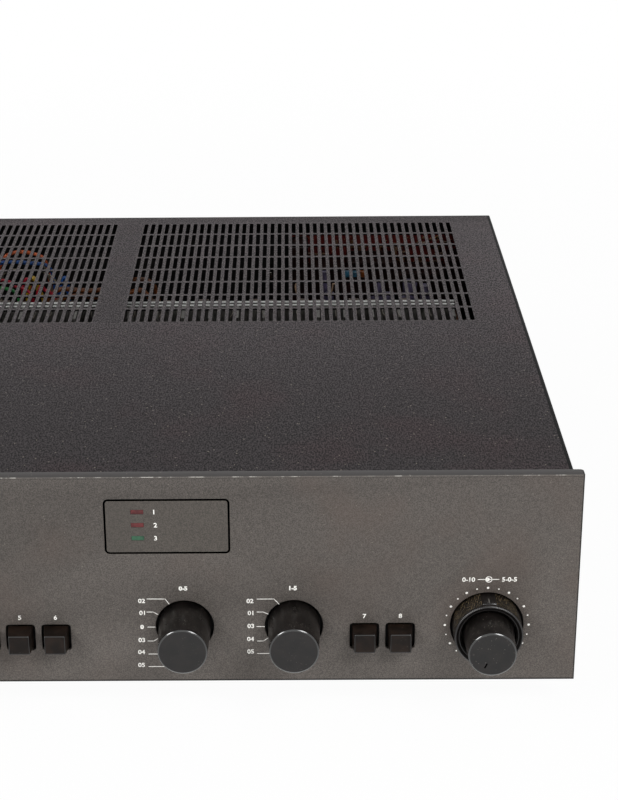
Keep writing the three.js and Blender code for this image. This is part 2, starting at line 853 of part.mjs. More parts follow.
// Headphone socket: a bush through wall and panel, with a body behind the wall
function headphoneJack() {
  const bush = rod(jackBushRadius, -jackProud, behindWall + jackProud + sheet, partSides);
  const shell = block(jackBodyWidth, jackBodyLength, jackBodyHeight, 0, behindWall, -jackBodyHeight / 2);
  const bore = rod(jackBoreRadius, -jackProud - cutOverrun, jackBoreDepth + cutOverrun, partSides);
  return cut(join(bush, shell), bore);
}

// Status window, its three lamps and the board that carries them
function statusDisplay() {
  const plateWide = windowWidth - 2 * lensGap;
  const plateTall = windowHeight - 2 * lensGap;
  const plateOutline = roundedRectangle(plateWide, plateTall, windowRadius - lensGap, windowX, windowZ);
  const lampX = windowX - windowWidth / 2 + lampInset;
  const lampZ = [0, 1, 2].map((index) => windowZ + lampRise - index * lampPitch);
  const boardFront = panelDepth - lampBoardThickness;
  const lampWays = lampZ.map((middle) => {
    const way = rectangle(lampWidth + 2 * lensGap, lampHeight + 2 * lensGap, lampX, middle);
    return extrudeBack(way, -cutOverrun, windowRecess + 2 * cutOverrun);
  });
  const plate = extrudeBack(plateOutline, 0, windowRecess - lensGap, cornerSteps);
  addPiece("status_window", cut(plate, ...lampWays), windowPlastic);
  const lampDepth = boardFront - seatGap - lensGap;
  const names = ["lamp_power", "lamp_protection", "lamp_clipping"];
  names.forEach((name, index) => {
    const lens = block(lampWidth, lampDepth, lampHeight, lampX, lensGap, lampZ[index] - lampHeight / 2);
    addPiece(name, lens, index < 2 ? redLamp : greenLamp);
  });
  const boardWide = windowWidth - 2 * windowLedgeWidth;
  const boardTall = windowHeight - 2 * windowLedgeWidth;
  const boardLow = windowZ - boardTall / 2;
  const board = block(boardWide, lampBoardThickness, boardTall, windowX, boardFront, boardLow);
  addPiece("lamp_board", board, brownBoard);
}

// Heat sink: fins in front of a bar, extruded upwards, with a groove along its top
function heatSink() {
  const half = sinkWidth / 2;
  const fins = Math.floor((sinkWidth - finThickness) / finPitch) + 1;
  const firstFin = -((fins - 1) * finPitch) / 2;
  const barFront = sinkFront + finLength;
  const shape = new THREE.Shape();
  shape.moveTo(-half, sinkBack);
  shape.lineTo(-half, barFront);
  for (let index = 0; index < fins; index += 1) {
    const x = firstFin + index * finPitch;
    shape.lineTo(x - finThickness / 2, barFront);
    shape.lineTo(x - finThickness / 2, sinkFront);
    shape.lineTo(x + finThickness / 2, sinkFront);
    shape.lineTo(x + finThickness / 2, barFront);
  }
  shape.lineTo(half, barFront);
  shape.lineTo(half, sinkBack);
  shape.closePath();
  const top = floorSeat + sinkHeight;
  const grooveY = barFront + (sinkBarThickness - sinkGroove) / 2;
  const grooveWide = sinkWidth + 2 * cutOverrun;
  const grooveFloor = top - sinkGrooveDepth;
  const groove = block(grooveWide, sinkGroove, sinkGrooveDepth + cutOverrun, 0, grooveY, grooveFloor);
  return cut(extrudeUp(shape, floorSeat, sinkHeight), groove);
}

// Output transistor with three legs down to the board
function transistor() {
  const low = boardTop + seatGap;
  const head = block(transistorWidth, transistorDepth, transistorHeight, 0, 0, boardTop + transistorRise);
  const height = transistorRise + legWidth - seatGap;
  const legs = [-1, 0, 1].map((side) => {
    return block(legWidth, legWidth, height, side * legPitch, (transistorDepth - legWidth) / 2, low);
  });
  return join(head, ...legs);
}

function outputStage() {
  addPiece("heat_sink", heatSink(), sinkAluminium);
  for (let index = 0; index < transistorCount; index += 1) {
    const piece = addPiece("output_transistor_" + (index + 1), transistor(), blackPlastic);
    const x = (index - (transistorCount - 1) / 2) * transistorPitchShare * sinkWidth;
    piece.position.set(x, sinkBack + seatGap, 0);
  }
}

function circuitBoards() {
  for (const board of flatBoards) {
    const middle = (board.left + board.right) / 2;
    const deep = board.back - board.front;
    const plate = block(board.right - board.left, deep, boardThickness, middle, board.front, boardSeat);
    addPiece(board.name + "_board", plate, brownBoard);
  }
  const y = rearInner - blockBoss - seatGap - boardThickness;
  const low = underCover - inputHeadroom - inputBoardHeight;
  const input = block(inputBoardWidth, boardThickness, inputBoardHeight, socketBlockX, y, low);
  addPiece("input_board", input, redBoard);
}

// Transformer: a laminated core with a window each side of its leg, and the coil that fills them
function transformerCore() {
  const windowDeep = coreDepth / 2 - coreLeg / 2 - coreUnit;
  const windowHigh = coreHeight - 2 * coreUnit;
  const stack = block(coreStack, coreDepth, coreHeight, 0, -coreDepth / 2, 0);
  const wide = coreStack + 2 * cutOverrun;
  const windows = [-coreLeg / 2 - windowDeep, coreLeg / 2].map((y) => {
    return block(wide, windowDeep, windowHigh, 0, y, coreUnit);
  });
  const flangeDeep = coreDepth + 2 * coreFlange;
  const flange = block(coreStack, flangeDeep, coreFlangeThickness, 0, -flangeDeep / 2, 0);
  return cut(join(stack, flange), ...windows);
}

function transformerCoil() {
  const outline = roundedRectangle(coreStack + 2 * coilWall, coreLeg + 2 * coilWall, coilWall, 0, 0);
  const low = coreUnit + seatGap;
  const tall = coreHeight - 2 * low;
  const legWide = coreStack + 2 * seatGap;
  const legDeep = coreLeg + 2 * seatGap;
  const leg = block(legWide, legDeep, tall + 2 * cutOverrun, 0, -legDeep / 2, low - cutOverrun);
  return cut(extrudeUp(outline, low, tall, cornerSteps), leg);
}

// Filter capacitor: a can with a rolled rim round its sunk top
function capacitor() {
  const low = boardTop + seatGap;
  const top = low + capacitorHeight;
  const profile = [
    [0, low],
    [capacitorRadius, low],
    [capacitorRadius, top],
    [capacitorRadius - capacitorRim, top],
    [capacitorRadius - capacitorRim, top - capacitorRim],
    [0, top - capacitorRim],
  ];
  return turned(profile, partSides).rotateX(Math.PI / 2);
}

function powerSupply() {
  const group = placedAt(transformerX, transformerY, floorSeat);
  addPiece("transformer_core", transformerCore(), coreSteel, group);
  addPiece("transformer_coil", transformerCoil(), coilTape, group);
  ["filter_capacitor_front", "filter_capacitor_back"].forEach((name, index) => {
    const piece = addPiece(name, capacitor(), capacitorSleeve);
    const y = (frontBoardsY + supplyBack) / 2 + (index - 0.5) * capacitorPitch;
    piece.position.set((supplyLeft + supplyRight) / 2, y, 0);
  });
}

// A block of connectors: a plate on the rear panel's back and a boss through its opening
function connectorBlock(columns, pitch, radius) {
  const wide = (columns - 1) * pitch + 2 * (radius + blockMargin);
  const tall = pitch + 2 * (radius + blockMargin);
  const bossWide = wide - 2 * blockMargin;
  const bossTall = tall - 2 * blockMargin;
  const plate = block(wide, blockPlate, tall, 0, seatGap, -tall / 2);
  const bossDepth = blockBoss + sheet + seatGap + blockPlate / 2;
  const boss = block(bossWide, bossDepth, bossTall, 0, -blockBoss - sheet, -bossTall / 2);
  return { bossWide, bossTall, base: join(plate, boss) };
}

function connectorPlaces(columns, pitch) {
  const places = [];
  for (let column = 0; column < columns; column += 1) {
    for (const row of [-0.5, 0.5]) places.push([(column - (columns - 1) / 2) * pitch, row * pitch]);
  }
  return places;
}

// Line sockets: two rows of round sockets with open ends
function lineSockets() {
  const { base } = connectorBlock(socketColumns, socketPitch, socketRadius);
  const places = connectorPlaces(socketColumns, socketPitch);
  const front = seatGap + blockPlate / 2;
  const barrel = rod(socketRadius, front, socketReach - front, rodSides);
  const bore = rod(socketBoreRadius, seatGap + blockPlate, socketReach + cutOverrun, hexSides);
  const barrels = mergeGeometries(places.map(([x, z]) => at(barrel, x, 0, z)));
  const bores = mergeGeometries(places.map(([x, z]) => at(bore, x, 0, z)));
  return cut(join(base, barrels), bores);
}

// Speaker terminals: two rows of posts
function speakerTerminals() {
  const { base } = connectorBlock(postColumns, postPitch, postRadius);
  const front = seatGap + blockPlate / 2;
  const binding = rod(postRadius, front, postReach - front, rodSides);
  const places = connectorPlaces(postColumns, postPitch);
  const posts = mergeGeometries(places.map(([x, z]) => at(binding, x, 0, z)));
  return join(base, posts);
}

// Mains lead bush: a flange outside the rear panel and a neck through it, bored for the lead
function mainsGland() {
  const profile = [
    [glandBoreRadius, -sheet - glandTail],
    [glandNeckRadius, -sheet - glandTail],
    [glandNeckRadius, seatGap],
    [glandFlangeRadius, seatGap],
    [glandFlangeRadius - glandBoreRadius / 2, glandReach],
    [glandBoreRadius, glandReach],
    [glandBoreRadius, -sheet - glandTail],
  ];
  return turned(profile, partSides);
}

// Earth post: a thumb nut on a stud through the rear panel
function groundPost() {
  const profile = [
    [0, -sheet - groundStudTail],
    [groundStudRadius, -sheet - groundStudTail],
    [groundStudRadius, seatGap],
    [groundKnobRadius, seatGap],
    [groundKnobRadius, groundKnobReach],
    [0, groundKnobReach],
  ];
  return turned(profile, partSides);
}

// Rear panel, clear of the cover's bend above it, with its bottom flange on the tray
function rearPanel() {
  const tall = underCover - bendRadius - trayBase;
  const outline = roundedRectangle(2 * (coverInside - seatGap), tall, bendRadius, 0, trayBase + tall / 2);
  const sockets = connectorBlock(socketColumns, socketPitch, socketRadius);
  const terminals = connectorBlock(postColumns, postPitch, postRadius);
  const socketWide = sockets.bossWide + 2 * seatGap;
  const postWide = terminals.bossWide + 2 * seatGap;
  const openings = [
    rectangle(socketWide, sockets.bossTall + 2 * seatGap, socketBlockX, connectorZ),
    rectangle(postWide, terminals.bossTall + 2 * seatGap, postBlockX, connectorZ),
  ];
  const plate = extrudeBack(outline, rearInner, sheet, cornerSteps);
  const flangeWide = 2 * (trayHalf - sheet - seatGap);
  const flange = block(flangeWide, rearFlange, sheet, 0, rearOuter - rearFlange, floorSeat);
  const gland = roundWay(glandNeckRadius + slipGap, glandX, glandZ, rearInner, sheet, partSides);
  const stud = roundWay(groundStudRadius + slipGap, groundX, connectorZ, rearInner, sheet, partSides);
  const ways = openings.map((opening) => {
    return extrudeBack(opening, rearInner - cutOverrun, sheet + 2 * cutOverrun);
  });
  return cut(join(plate, flange), gland, stud, ...ways);
}

function rearConnectors() {
  addPiece("line_sockets", lineSockets(), blackPlastic, placedAt(socketBlockX, rearOuter, connectorZ));
  const postPlace = placedAt(postBlockX, rearOuter, connectorZ);
  addPiece("speaker_terminals", speakerTerminals(), blackPlastic, postPlace);
  addPiece("mains_gland", mainsGland(), blackPlastic, placedAt(glandX, rearOuter, glandZ));
  addPiece("ground_post", groundPost(), plainSteel, placedAt(groundX, rearOuter, connectorZ));
}

// Assembly
addPiece("base_tray", baseTray(), chassisSteel);
addPiece("rear_panel", rearPanel(), chassisSteel);
addPiece("top_cover", topCover(), coverPaint);
addPiece("front_panel", frontPanel(), panelPaint);
for (const place of footPlaces()) {
  addPiece(place.name, foot(), footPlastic).position.set(place.x, place.y, 0);
}
smallControls();
volumeControl();
pushButtons();
addPiece("headphone_jack", headphoneJack(), blackPlastic, placedAt(headphoneX, 0, buttonZ));
statusDisplay();
outputStage();
circuitBoards();
powerSupply();
rearConnectors();

export default amplifier;
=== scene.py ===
"""Dresses a full-width stereo amplifier: perforated cover, printed panel, knobs, and what shows inside."""
import json
import math
import random

import bmesh
import bpy
from bpy.props import FloatProperty, FloatVectorProperty, IntProperty, PointerProperty
from mathutils import Matrix, Vector

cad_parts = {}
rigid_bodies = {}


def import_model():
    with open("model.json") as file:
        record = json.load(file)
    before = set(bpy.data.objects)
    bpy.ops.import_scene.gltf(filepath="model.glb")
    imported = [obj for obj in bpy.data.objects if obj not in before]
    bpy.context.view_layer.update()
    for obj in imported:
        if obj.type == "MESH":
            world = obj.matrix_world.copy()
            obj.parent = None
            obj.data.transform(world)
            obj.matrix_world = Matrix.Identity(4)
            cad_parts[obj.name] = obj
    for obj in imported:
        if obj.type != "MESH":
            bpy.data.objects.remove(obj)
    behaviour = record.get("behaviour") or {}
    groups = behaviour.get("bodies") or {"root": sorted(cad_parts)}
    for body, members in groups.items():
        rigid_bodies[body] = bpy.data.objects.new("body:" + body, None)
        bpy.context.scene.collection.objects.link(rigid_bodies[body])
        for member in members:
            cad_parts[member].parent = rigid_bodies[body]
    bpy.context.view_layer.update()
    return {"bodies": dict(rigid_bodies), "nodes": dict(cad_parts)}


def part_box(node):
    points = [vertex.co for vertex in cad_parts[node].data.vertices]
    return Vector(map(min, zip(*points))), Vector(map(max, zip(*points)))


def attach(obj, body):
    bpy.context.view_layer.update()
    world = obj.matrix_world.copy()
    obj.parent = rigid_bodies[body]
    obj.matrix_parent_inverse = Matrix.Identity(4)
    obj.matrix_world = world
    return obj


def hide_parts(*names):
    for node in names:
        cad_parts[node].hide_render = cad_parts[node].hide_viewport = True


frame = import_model()

bl_info = {
    "name": "Stereo Amplifier",
    "version": (1, 0, 0),
    "blender": (4, 5, 0),
    "location": "View3D > Sidebar > Amplifier",
    "description": "Models and finishes the visible pieces of a full-width stereo amplifier",
    "category": "Object",
}

CASE = "case"
ROUND = 96
SMALL_ROUND = 32
RIBS = 240
TOUCH = 1e-5
JACK_HOLE = 0.0059
KNOBS = ("bass", "treble", "record", "listen")
TONE_KNOBS = ("bass", "treble")
BUTTONS = (
    "power", "speakers_a", "speakers_b", "tone_defeat", "infrasonic", "mono", "low_level", "loudness",
)
LAMPS = ("lamp_power", "lamp_protection", "lamp_clipping")
FEET = ("foot_front_left", "foot_front_right", "foot_rear_left", "foot_rear_right")

panel_low, panel_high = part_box("front_panel")
cover_low, cover_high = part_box("top_cover")


# Properties

def length(name, description, default):
    return FloatProperty(
        name=name, description=description, default=default, min=0.0, precision=5,
        unit="LENGTH", subtype="DISTANCE",
    )


def colour(name, description, red, green, blue):
    return FloatVectorProperty(
        name=name, description=description, default=(red / 255, green / 255, blue / 255),
        min=0.0, max=1.0, size=3, subtype="COLOR_GAMMA",
    )


class CoverSizes(bpy.types.PropertyGroup):
    sheet: length("Sheet", "Thickness of the cover's steel", 0.0008)
    bend: length("Bend", "Outer radius of the cover's bends", 0.0014)
    flange: length("Back flange", "Height of the flange at the cover's back", 0.008)
    columns: IntProperty(name="Columns", description="Slots across one group of vents", default=44, min=1)
    rows: IntProperty(name="Rows", description="Slots along one group of vents", default=8, min=1)
    pitch: length("Column pitch", "Distance between neighbouring columns", 0.004)
    row_pitch: length("Row pitch", "Distance between neighbouring rows", 0.01988)
    slot_width: length("Slot width", "Width of one slot", 0.0022)
    slot_length: length("Slot length", "Length of one slot", 0.0177)
    slot_corner: length("Slot corner", "Radius of a slot's corners", 0.0009)
    inner: length("First column", "From the middle to the first column", 0.00886)
    back: length("Last row", "From the cover's back to the last row", 0.0228)


class PanelSizes(bpy.types.PropertyGroup):
    web: length("Web", "Thickness of the panel's face", 0.0022)
    rim: length("Rim", "Thickness of the rim round the panel's back", 0.002)
    edge: length("Edge", "Rounding of the panel's front edges", 0.00035)
    back_corner: length("Back corner", "Rounding of the panel's upright back edges", 0.0016)
    knob_hole: length("Knob hole", "Radius of the holes round the small knobs", 0.01225)
    volume_hole: length("Volume hole", "Radius of the hole round the balance ring", 0.0154)
    recess: length("Button recess", "Width of a push button's recess", 0.0124)
    recess_corner: length("Recess corner", "Radius of a recess's corners", 0.0015)
    window_recess: length("Window recess", "Depth of the status window's seat", 0.0012)
    # The dark line is painted shade: a near-black rim in the gap.
    window_gap: length("Window gap", "Dark line round the status window", 0.00086)
    window_margin: length("Window margin", "How far the window's seat is wider than its plate", 0.0005)
    window_corner: length("Window corner", "Radius of the status window's corners", 0.002)
    letter: length("Numbers", "Height of the printed numbers", 0.0021)
    line: length("Lines", "Width of the printed lines", 0.0003)
    dot_circle: length("Dot circle", "Radius of the dots round the volume knob", 0.01756)
    big_dot: length("Large dot", "Radius of every other dot", 0.00052)
    small_dot: length("Small dot", "Radius of the dots between them", 0.00034)


class ControlSizes(bpy.types.PropertyGroup):
    knob_face: length("Knob face", "Radius of a small knob's face", 0.01025)
    knob_base: length("Knob base", "Radius of a small knob behind the panel", 0.0111)
    knob_edge: length("Knob edge", "Width of the chamfer round a knob's face", 0.0005)
    volume_face: length("Volume face", "Radius of the volume knob's face", 0.0099)
    volume_base: length("Volume base", "Radius of the volume knob at its back", 0.0109)
    ring_face: length("Ring face", "Outer radius of the balance ring's front", 0.0143)
    ring_base: length("Ring base", "Outer radius of the balance ring's back", 0.0146)
    rib_depth: length("Ring ribs", "Depth of the ribs round the balance ring", 0.00022)
    pad: length("Ring pad", "Width of the smooth pad on the balance ring", 0.0058)
    button_face: length("Button face", "Width of a push button's face", 0.0087)
    button_base: length("Button base", "Width of a push button at the panel", 0.0105)
    button_edge: length("Button edge", "Rounding of a push button's edges", 0.0006)


class AmplifierColours(bpy.types.PropertyGroup):
    panel: colour("Panel", "Paint of the front panel", 85, 80, 76)
    cover: colour("Cover", "Paint of the perforated cover", 43, 40, 41)
    steel: colour("Chassis", "Steel of the tray and the rear panel", 36, 36, 37)
    knob: colour("Knobs", "Plastic of the knobs", 16, 13, 12)
    button: colour("Buttons", "Plastic of the push buttons", 25, 18, 14)
    window: colour("Window", "Plastic of the status window", 74, 69, 64)
    printing: colour("Printing", "Numbers, dots and lines", 244, 242, 236)
    dust: colour("Dust", "Dust and worn paint", 150, 142, 132)


# Modelling

def deselect():
    if bpy.context.object and bpy.context.object.mode != "OBJECT":
        bpy.ops.object.mode_set(mode="OBJECT")
    bpy.ops.object.select_all(action="DESELECT")


def choose(*pieces):
    deselect()
    for piece in pieces:
        piece.select_set(True)
    bpy.context.view_layer.objects.active = pieces[0]


def settle(piece):
    """Moves a piece's place, turn and size into its mesh."""
    choose(piece)
    bpy.ops.object.transform_apply(location=True, rotation=True, scale=True)
    return piece


def named(name):
    piece = bpy.context.object
    piece.name = name
    piece.data.name = name
    return piece


def add_block(name, low, high):
    """A cuboid between two corners."""
    low, high = Vector(low), Vector(high)
    deselect()
    bpy.ops.mesh.primitive_cube_add(size=1, location=(low + high) / 2)
    piece = named(name)
    piece.scale = high - low
    return settle(piece)


def add_bar(name, place, half, front, back):
    """A square bar along Y from front to back, round the axis at place, an x and a z."""
    x, z = place
    return add_block(name, (x - half, front, z - half), (x + half, back, z + half))


def add_cone(name, centre, depth, radii, sides, turn=0.0):
    deselect()
    bpy.ops.mesh.primitive_cone_add(
        vertices=sides, radius1=radii[0], radius2=radii[1], depth=depth,
        location=centre, rotation=(turn, 0, 0),
    )
    return settle(named(name))


def add_rod(name, place, radius, front, back, sides=ROUND, back_radius=None):
    """A rod or taper along Y from front to back, round the axis at place, an x and a z."""
    centre = (place[0], (front + back) / 2, place[1])
    return add_cone(name, centre, back - front, (back_radius or radius, radius), sides, math.pi / 2)


def add_post(name, place, radius, low, high, sides=SMALL_ROUND, top_radius=None):
    """A post or taper along Z from low to high, round the axis at place, an x and a y."""
    centre = (place[0], place[1], (low + high) / 2)
    return add_cone(name, centre, high - low, (radius, top_radius or radius), sides)


class Editing:
    """Edit mode on one piece, with the faces, edges or points picked by a test."""

    def __init__(self, piece):
        self.piece = piece

    def __enter__(self):
        choose(self.piece)
        bpy.ops.object.mode_set(mode="EDIT")
        bpy.ops.mesh.select_all(action="DESELECT")
        return self

    def __exit__(self, *trouble):
        bpy.ops.object.mode_set(mode="OBJECT")

    def _pick(self, mode, kind, test):
        bpy.ops.mesh.select_mode(type=mode)
        bpy.ops.mesh.select_all(action="DESELECT")
        mesh = bmesh.from_edit_mesh(self.piece.data)
        mesh.normal_update()
        for element in getattr(mesh, kind):
            if test(element):
                element.select_set(True)
        mesh.select_flush_mode()
        bmesh.update_edit_mesh(self.piece.data)

    def faces(self, test):
        self._pick("FACE", "faces", test)

    def edges(self, test):
        self._pick("EDGE", "edges", test)

    def points(self, test):
        self._pick("VERT", "verts", test)


def facing(x=0, y=0, z=0, least=0.9):
    """A test for faces whose normal points this way."""
    way = Vector((x, y, z)).normalized()
    return lambda face: face.normal.dot(way) > least


def all_near(axis, place, reach=TOUCH):
    """A test for edges and faces that lie at one place along an axis."""
    return lambda element: all(abs(point.co[axis] - place) < reach for point in element.verts)


def modify(piece, kind, **settings):
    choose(piece)
    modifier = piece.modifiers.new(kind.lower(), kind)
    for key, value in settings.items():
        setattr(modifier, key, value)
    bpy.ops.object.modifier_apply(modifier=modifier.name)


def soften(piece, width, segments=2, angle=35):
    """Rounds every edge sharper than an angle."""
    modify(
        piece, "BEVEL", width=width, segments=segments, limit_method="ANGLE",
        angle_limit=math.radians(angle), use_clamp_overlap=True,
    )
    return piece


def smooth(piece, angle=32):
    choose(piece)
    bpy.ops.object.shade_smooth_by_angle(angle=math.radians(angle))
    return piece


def cut_away(piece, cutter):
    modify(piece, "BOOLEAN", operation="DIFFERENCE", solver="EXACT", object=cutter)
    bpy.data.objects.remove(cutter)
    return piece


def bore(piece, place, radius, front, back, sides):
    """Drills a round hole along Y."""
    return cut_away(piece, add_rod("bore", place, radius, front, back, sides))


def merge(name, pieces):
    """Joins pieces into the first one."""
    choose(*pieces)
    if len(pieces) > 1:
        bpy.ops.object.join()
    return named(name)


def assembled(name, pieces, width, angle=50):
    """Merges pieces, rounds their edges and smooths them."""
    return smooth(soften(merge(name, pieces), width, angle=angle))


def copy_of(piece, name, shift):
    """A moved copy with its own mesh."""
    choose(piece)
    bpy.ops.object.duplicate(linked=False)
    made = named(name)
    made.location = shift
    return settle(made)


def turned(piece, angle, centre, axis="Y"):
    """Turns a piece's mesh by an angle round an axis through a centre."""
    turn = Matrix.Rotation(angle, 4, axis)
    centre = Matrix.Translation(Vector(centre))
    piece.data.transform(centre @ turn @ centre.inverted())
    return piece


def runs_along(axis):
    """A test for edges that run along an axis."""
    return lambda edge: abs((edge.verts[0].co - edge.verts[1].co).normalized()[axis]) > 0.9


def round_edges(piece, test, radius, segments=6):
    with Editing(piece) as edit:
        edit.edges(test)
        bpy.ops.mesh.bevel(offset=radius, segments=segments, affect="EDGES")
    return piece


def round_upright(piece, radius):
    """Rounds the edges that run from front to back."""
    return round_edges(piece, runs_along(1), radius)


def recess_face(piece, test, border, depth):
    """Insets the faces that pass a test and pushes them in by a depth against their normal."""
    with Editing(piece) as edit:
        edit.faces(test)
        bpy.ops.mesh.inset(thickness=border, use_boundary=True)
        bpy.ops.mesh.extrude_region_shrink_fatten(TRANSFORM_OT_shrink_fatten={"value": -depth})
    return piece


def centre_of(node):
    low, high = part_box(node)
    return (low + high) / 2


def across(node):
    """The x and z of a node's middle."""
    middle = centre_of(node)
    return middle.x, middle.z


def wear(piece, finish, body=CASE, stands_for=()):
    """Gives a piece its finish and its body, and hides the nodes that it stands for."""
    piece.data.materials.clear()
    piece.data.materials.append(finish)
    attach(piece, body)
    if stands_for:
        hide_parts(*stands_for)
    return piece


def wear_on_faces(piece, finish, test):
    """Gives the faces that pass a test a second finish."""
    piece.data.materials.append(finish)
    piece.active_material_index = len(piece.data.materials) - 1
    with Editing(piece) as edit:
        edit.faces(test)
        bpy.ops.object.material_slot_assign()
    return piece


def finish_nodes(finish, *nodes):
    """Gives CAD nodes that stay in view their finish."""
    for node in nodes:
        materials = frame["nodes"][node].data.materials
        materials.clear()
        materials.append(finish)


# Shading

def linear(rgb):
    """A display colour as the linear colour that a shader takes."""
    return tuple(c / 12.92 if c <= 0.04045 else ((c + 0.055) / 1.055) ** 2.4 for c in rgb)


def shade(rgb, share):
    return tuple(min(1.0, c * share) for c in rgb)


class Value:
    """A shader output that takes part in arithmetic."""

    def __init__(self, nodes, socket):
        self.nodes = nodes
        self.socket = socket

    def maths(self, operation, *others):
        inputs = dict(enumerate((self, *others)))
        return self.nodes.node("ShaderNodeMath", {"operation": operation}, inputs)

    def __add__(self, other):
        return self.maths("ADD", other)

    __radd__ = __add__

    def __sub__(self, other):
        return self.maths("SUBTRACT", other)

    def __rsub__(self, other):
        return self * -1 + other

    def __mul__(self, other):
        return self.maths("MULTIPLY", other)

    __rmul__ = __mul__

    def __pow__(self, other):
        return self.maths("POWER", other)

    def at_least(self, other):
        return self.maths("MAXIMUM", other)

    def size(self):
        return self.maths("ABSOLUTE")

    def step(self, low, high):
        """Rises smoothly from 0 at low to 1 at high."""
        inputs = {"Value": self, "From Min": low, "From Max": high}
        return self.nodes.node("ShaderNodeMapRange", {"interpolation_type": "SMOOTHSTEP"}, inputs)


class Nodes:
    """A node tree, and the one way in which nodes are added to it."""

    def __init__(self, tree):
        self.tree = tree

    def feed(self, socket, value):
        if isinstance(value, Value):
            self.tree.links.new(value.socket, socket)
        elif isinstance(value, (tuple, list)) and socket.type == "RGBA":
            socket.default_value = (*linear(value), 1.0)
        else:
            socket.default_value = value

    def node(self, kind, settings, inputs, output=0):
        made = self.tree.nodes.new(kind)
        for key, value in settings.items():
            setattr(made, key, value)
        for key, value in inputs.items():
            self.feed(made.inputs[key], value)
        return Value(self, made.outputs[output])

    def outputs(self, kind, inputs, *names):
        """Several outputs of one node."""
        made = self.node(kind, {}, inputs).socket.node
        return [Value(self, made.outputs[name]) for name in names]


class Finish(Nodes):
    """One material: a Principled shader and the nodes that feed it."""

    def __init__(self, name, roughness=0.5, metallic=0.0, specular=0.5):
        self.material = bpy.data.materials.new(name)
        self.material.use_nodes = True
        super().__init__(self.material.node_tree)
        self.shader = self.tree.nodes["Principled BSDF"]
        self.place = self.node("ShaderNodeTexCoord", {}, {}, "Object")
        self.feed(self.shader.inputs["Roughness"], roughness)
        self.feed(self.shader.inputs["Metallic"], metallic)
        self.feed(self.shader.inputs["Specular IOR Level"], specular)

    def stretched(self, x, y, z):
        return self.node("ShaderNodeMapping", {}, {"Vector": self.place, "Scale": (x, y, z)})

    def noise(self, scale, detail=2.0, place=None, roughness=0.5):
        inputs = {"Vector": place or self.place, "Scale": scale, "Detail": detail, "Roughness": roughness}
        return self.node("ShaderNodeTexNoise", {}, inputs, "Fac")

    def cells(self, scale, randomness=1.0, **settings):
        inputs = {"Vector": self.place, "Scale": scale, "Randomness": randomness}
        return self.node("ShaderNodeTexVoronoi", settings, inputs, "Distance")

    def axes(self):
        return self.outputs("ShaderNodeSeparateXYZ", {0: self.place}, "X", "Y", "Z")

    def mixed(self, factor, first, second):
        inputs = {0: factor, 6: first, 7: second}
        return self.node("ShaderNodeMix", {"data_type": "RGBA", "clamp_factor": True}, inputs, 2)

    def colour(self, factor, first, second):
        """Mixes two tones as the base colour."""
        self.top = self.mixed(factor, first, second)
        self.feed(self.shader.inputs["Base Color"], self.top)

    def tones(self, factor, base, low, high):
        """Mixes two shades of one tone as the base colour."""
        self.colour(factor, shade(base, low), shade(base, high))

    def coat(self, factor, tone):
        """Lays a tone over the base colour that is there."""
        self.colour(factor, self.top, tone)

    def rough(self, value):
        self.feed(self.shader.inputs["Roughness"], value)

    def bump(self, height, distance, strength):
        """Adds a bump and gives the finished material."""
        inputs = {"Height": height, "Distance": distance, "Strength": strength}
        self.feed(self.shader.inputs["Normal"], self.node("ShaderNodeBump", {}, inputs))
        return self.material

    def specks(self, scale, share):
        """Small scattered spots: 1 inside a spot."""
        cell = self.cells(scale)
        chosen = self.noise(scale * 0.37, 0.0).step(0.5, 0.54)
        return (1 - cell.step(share * 0.6, share)) * chosen


def palette(name):
    return tuple(getattr(bpy.context.scene.amplifier_colours, name))


def mottled(name, dark, light, scale, span, relief, detail=3.0, **looks):
    """Two tones in soft spots. Relief is a bump's own noise scale or none, its distance and its strength."""
    made = Finish(name, **looks)
    spots = made.noise(scale, detail)
    made.colour(spots.step(*span), dark, light)
    fine, distance, strength = relief
    return made.bump(made.noise(fine) if fine else spots, distance, strength)


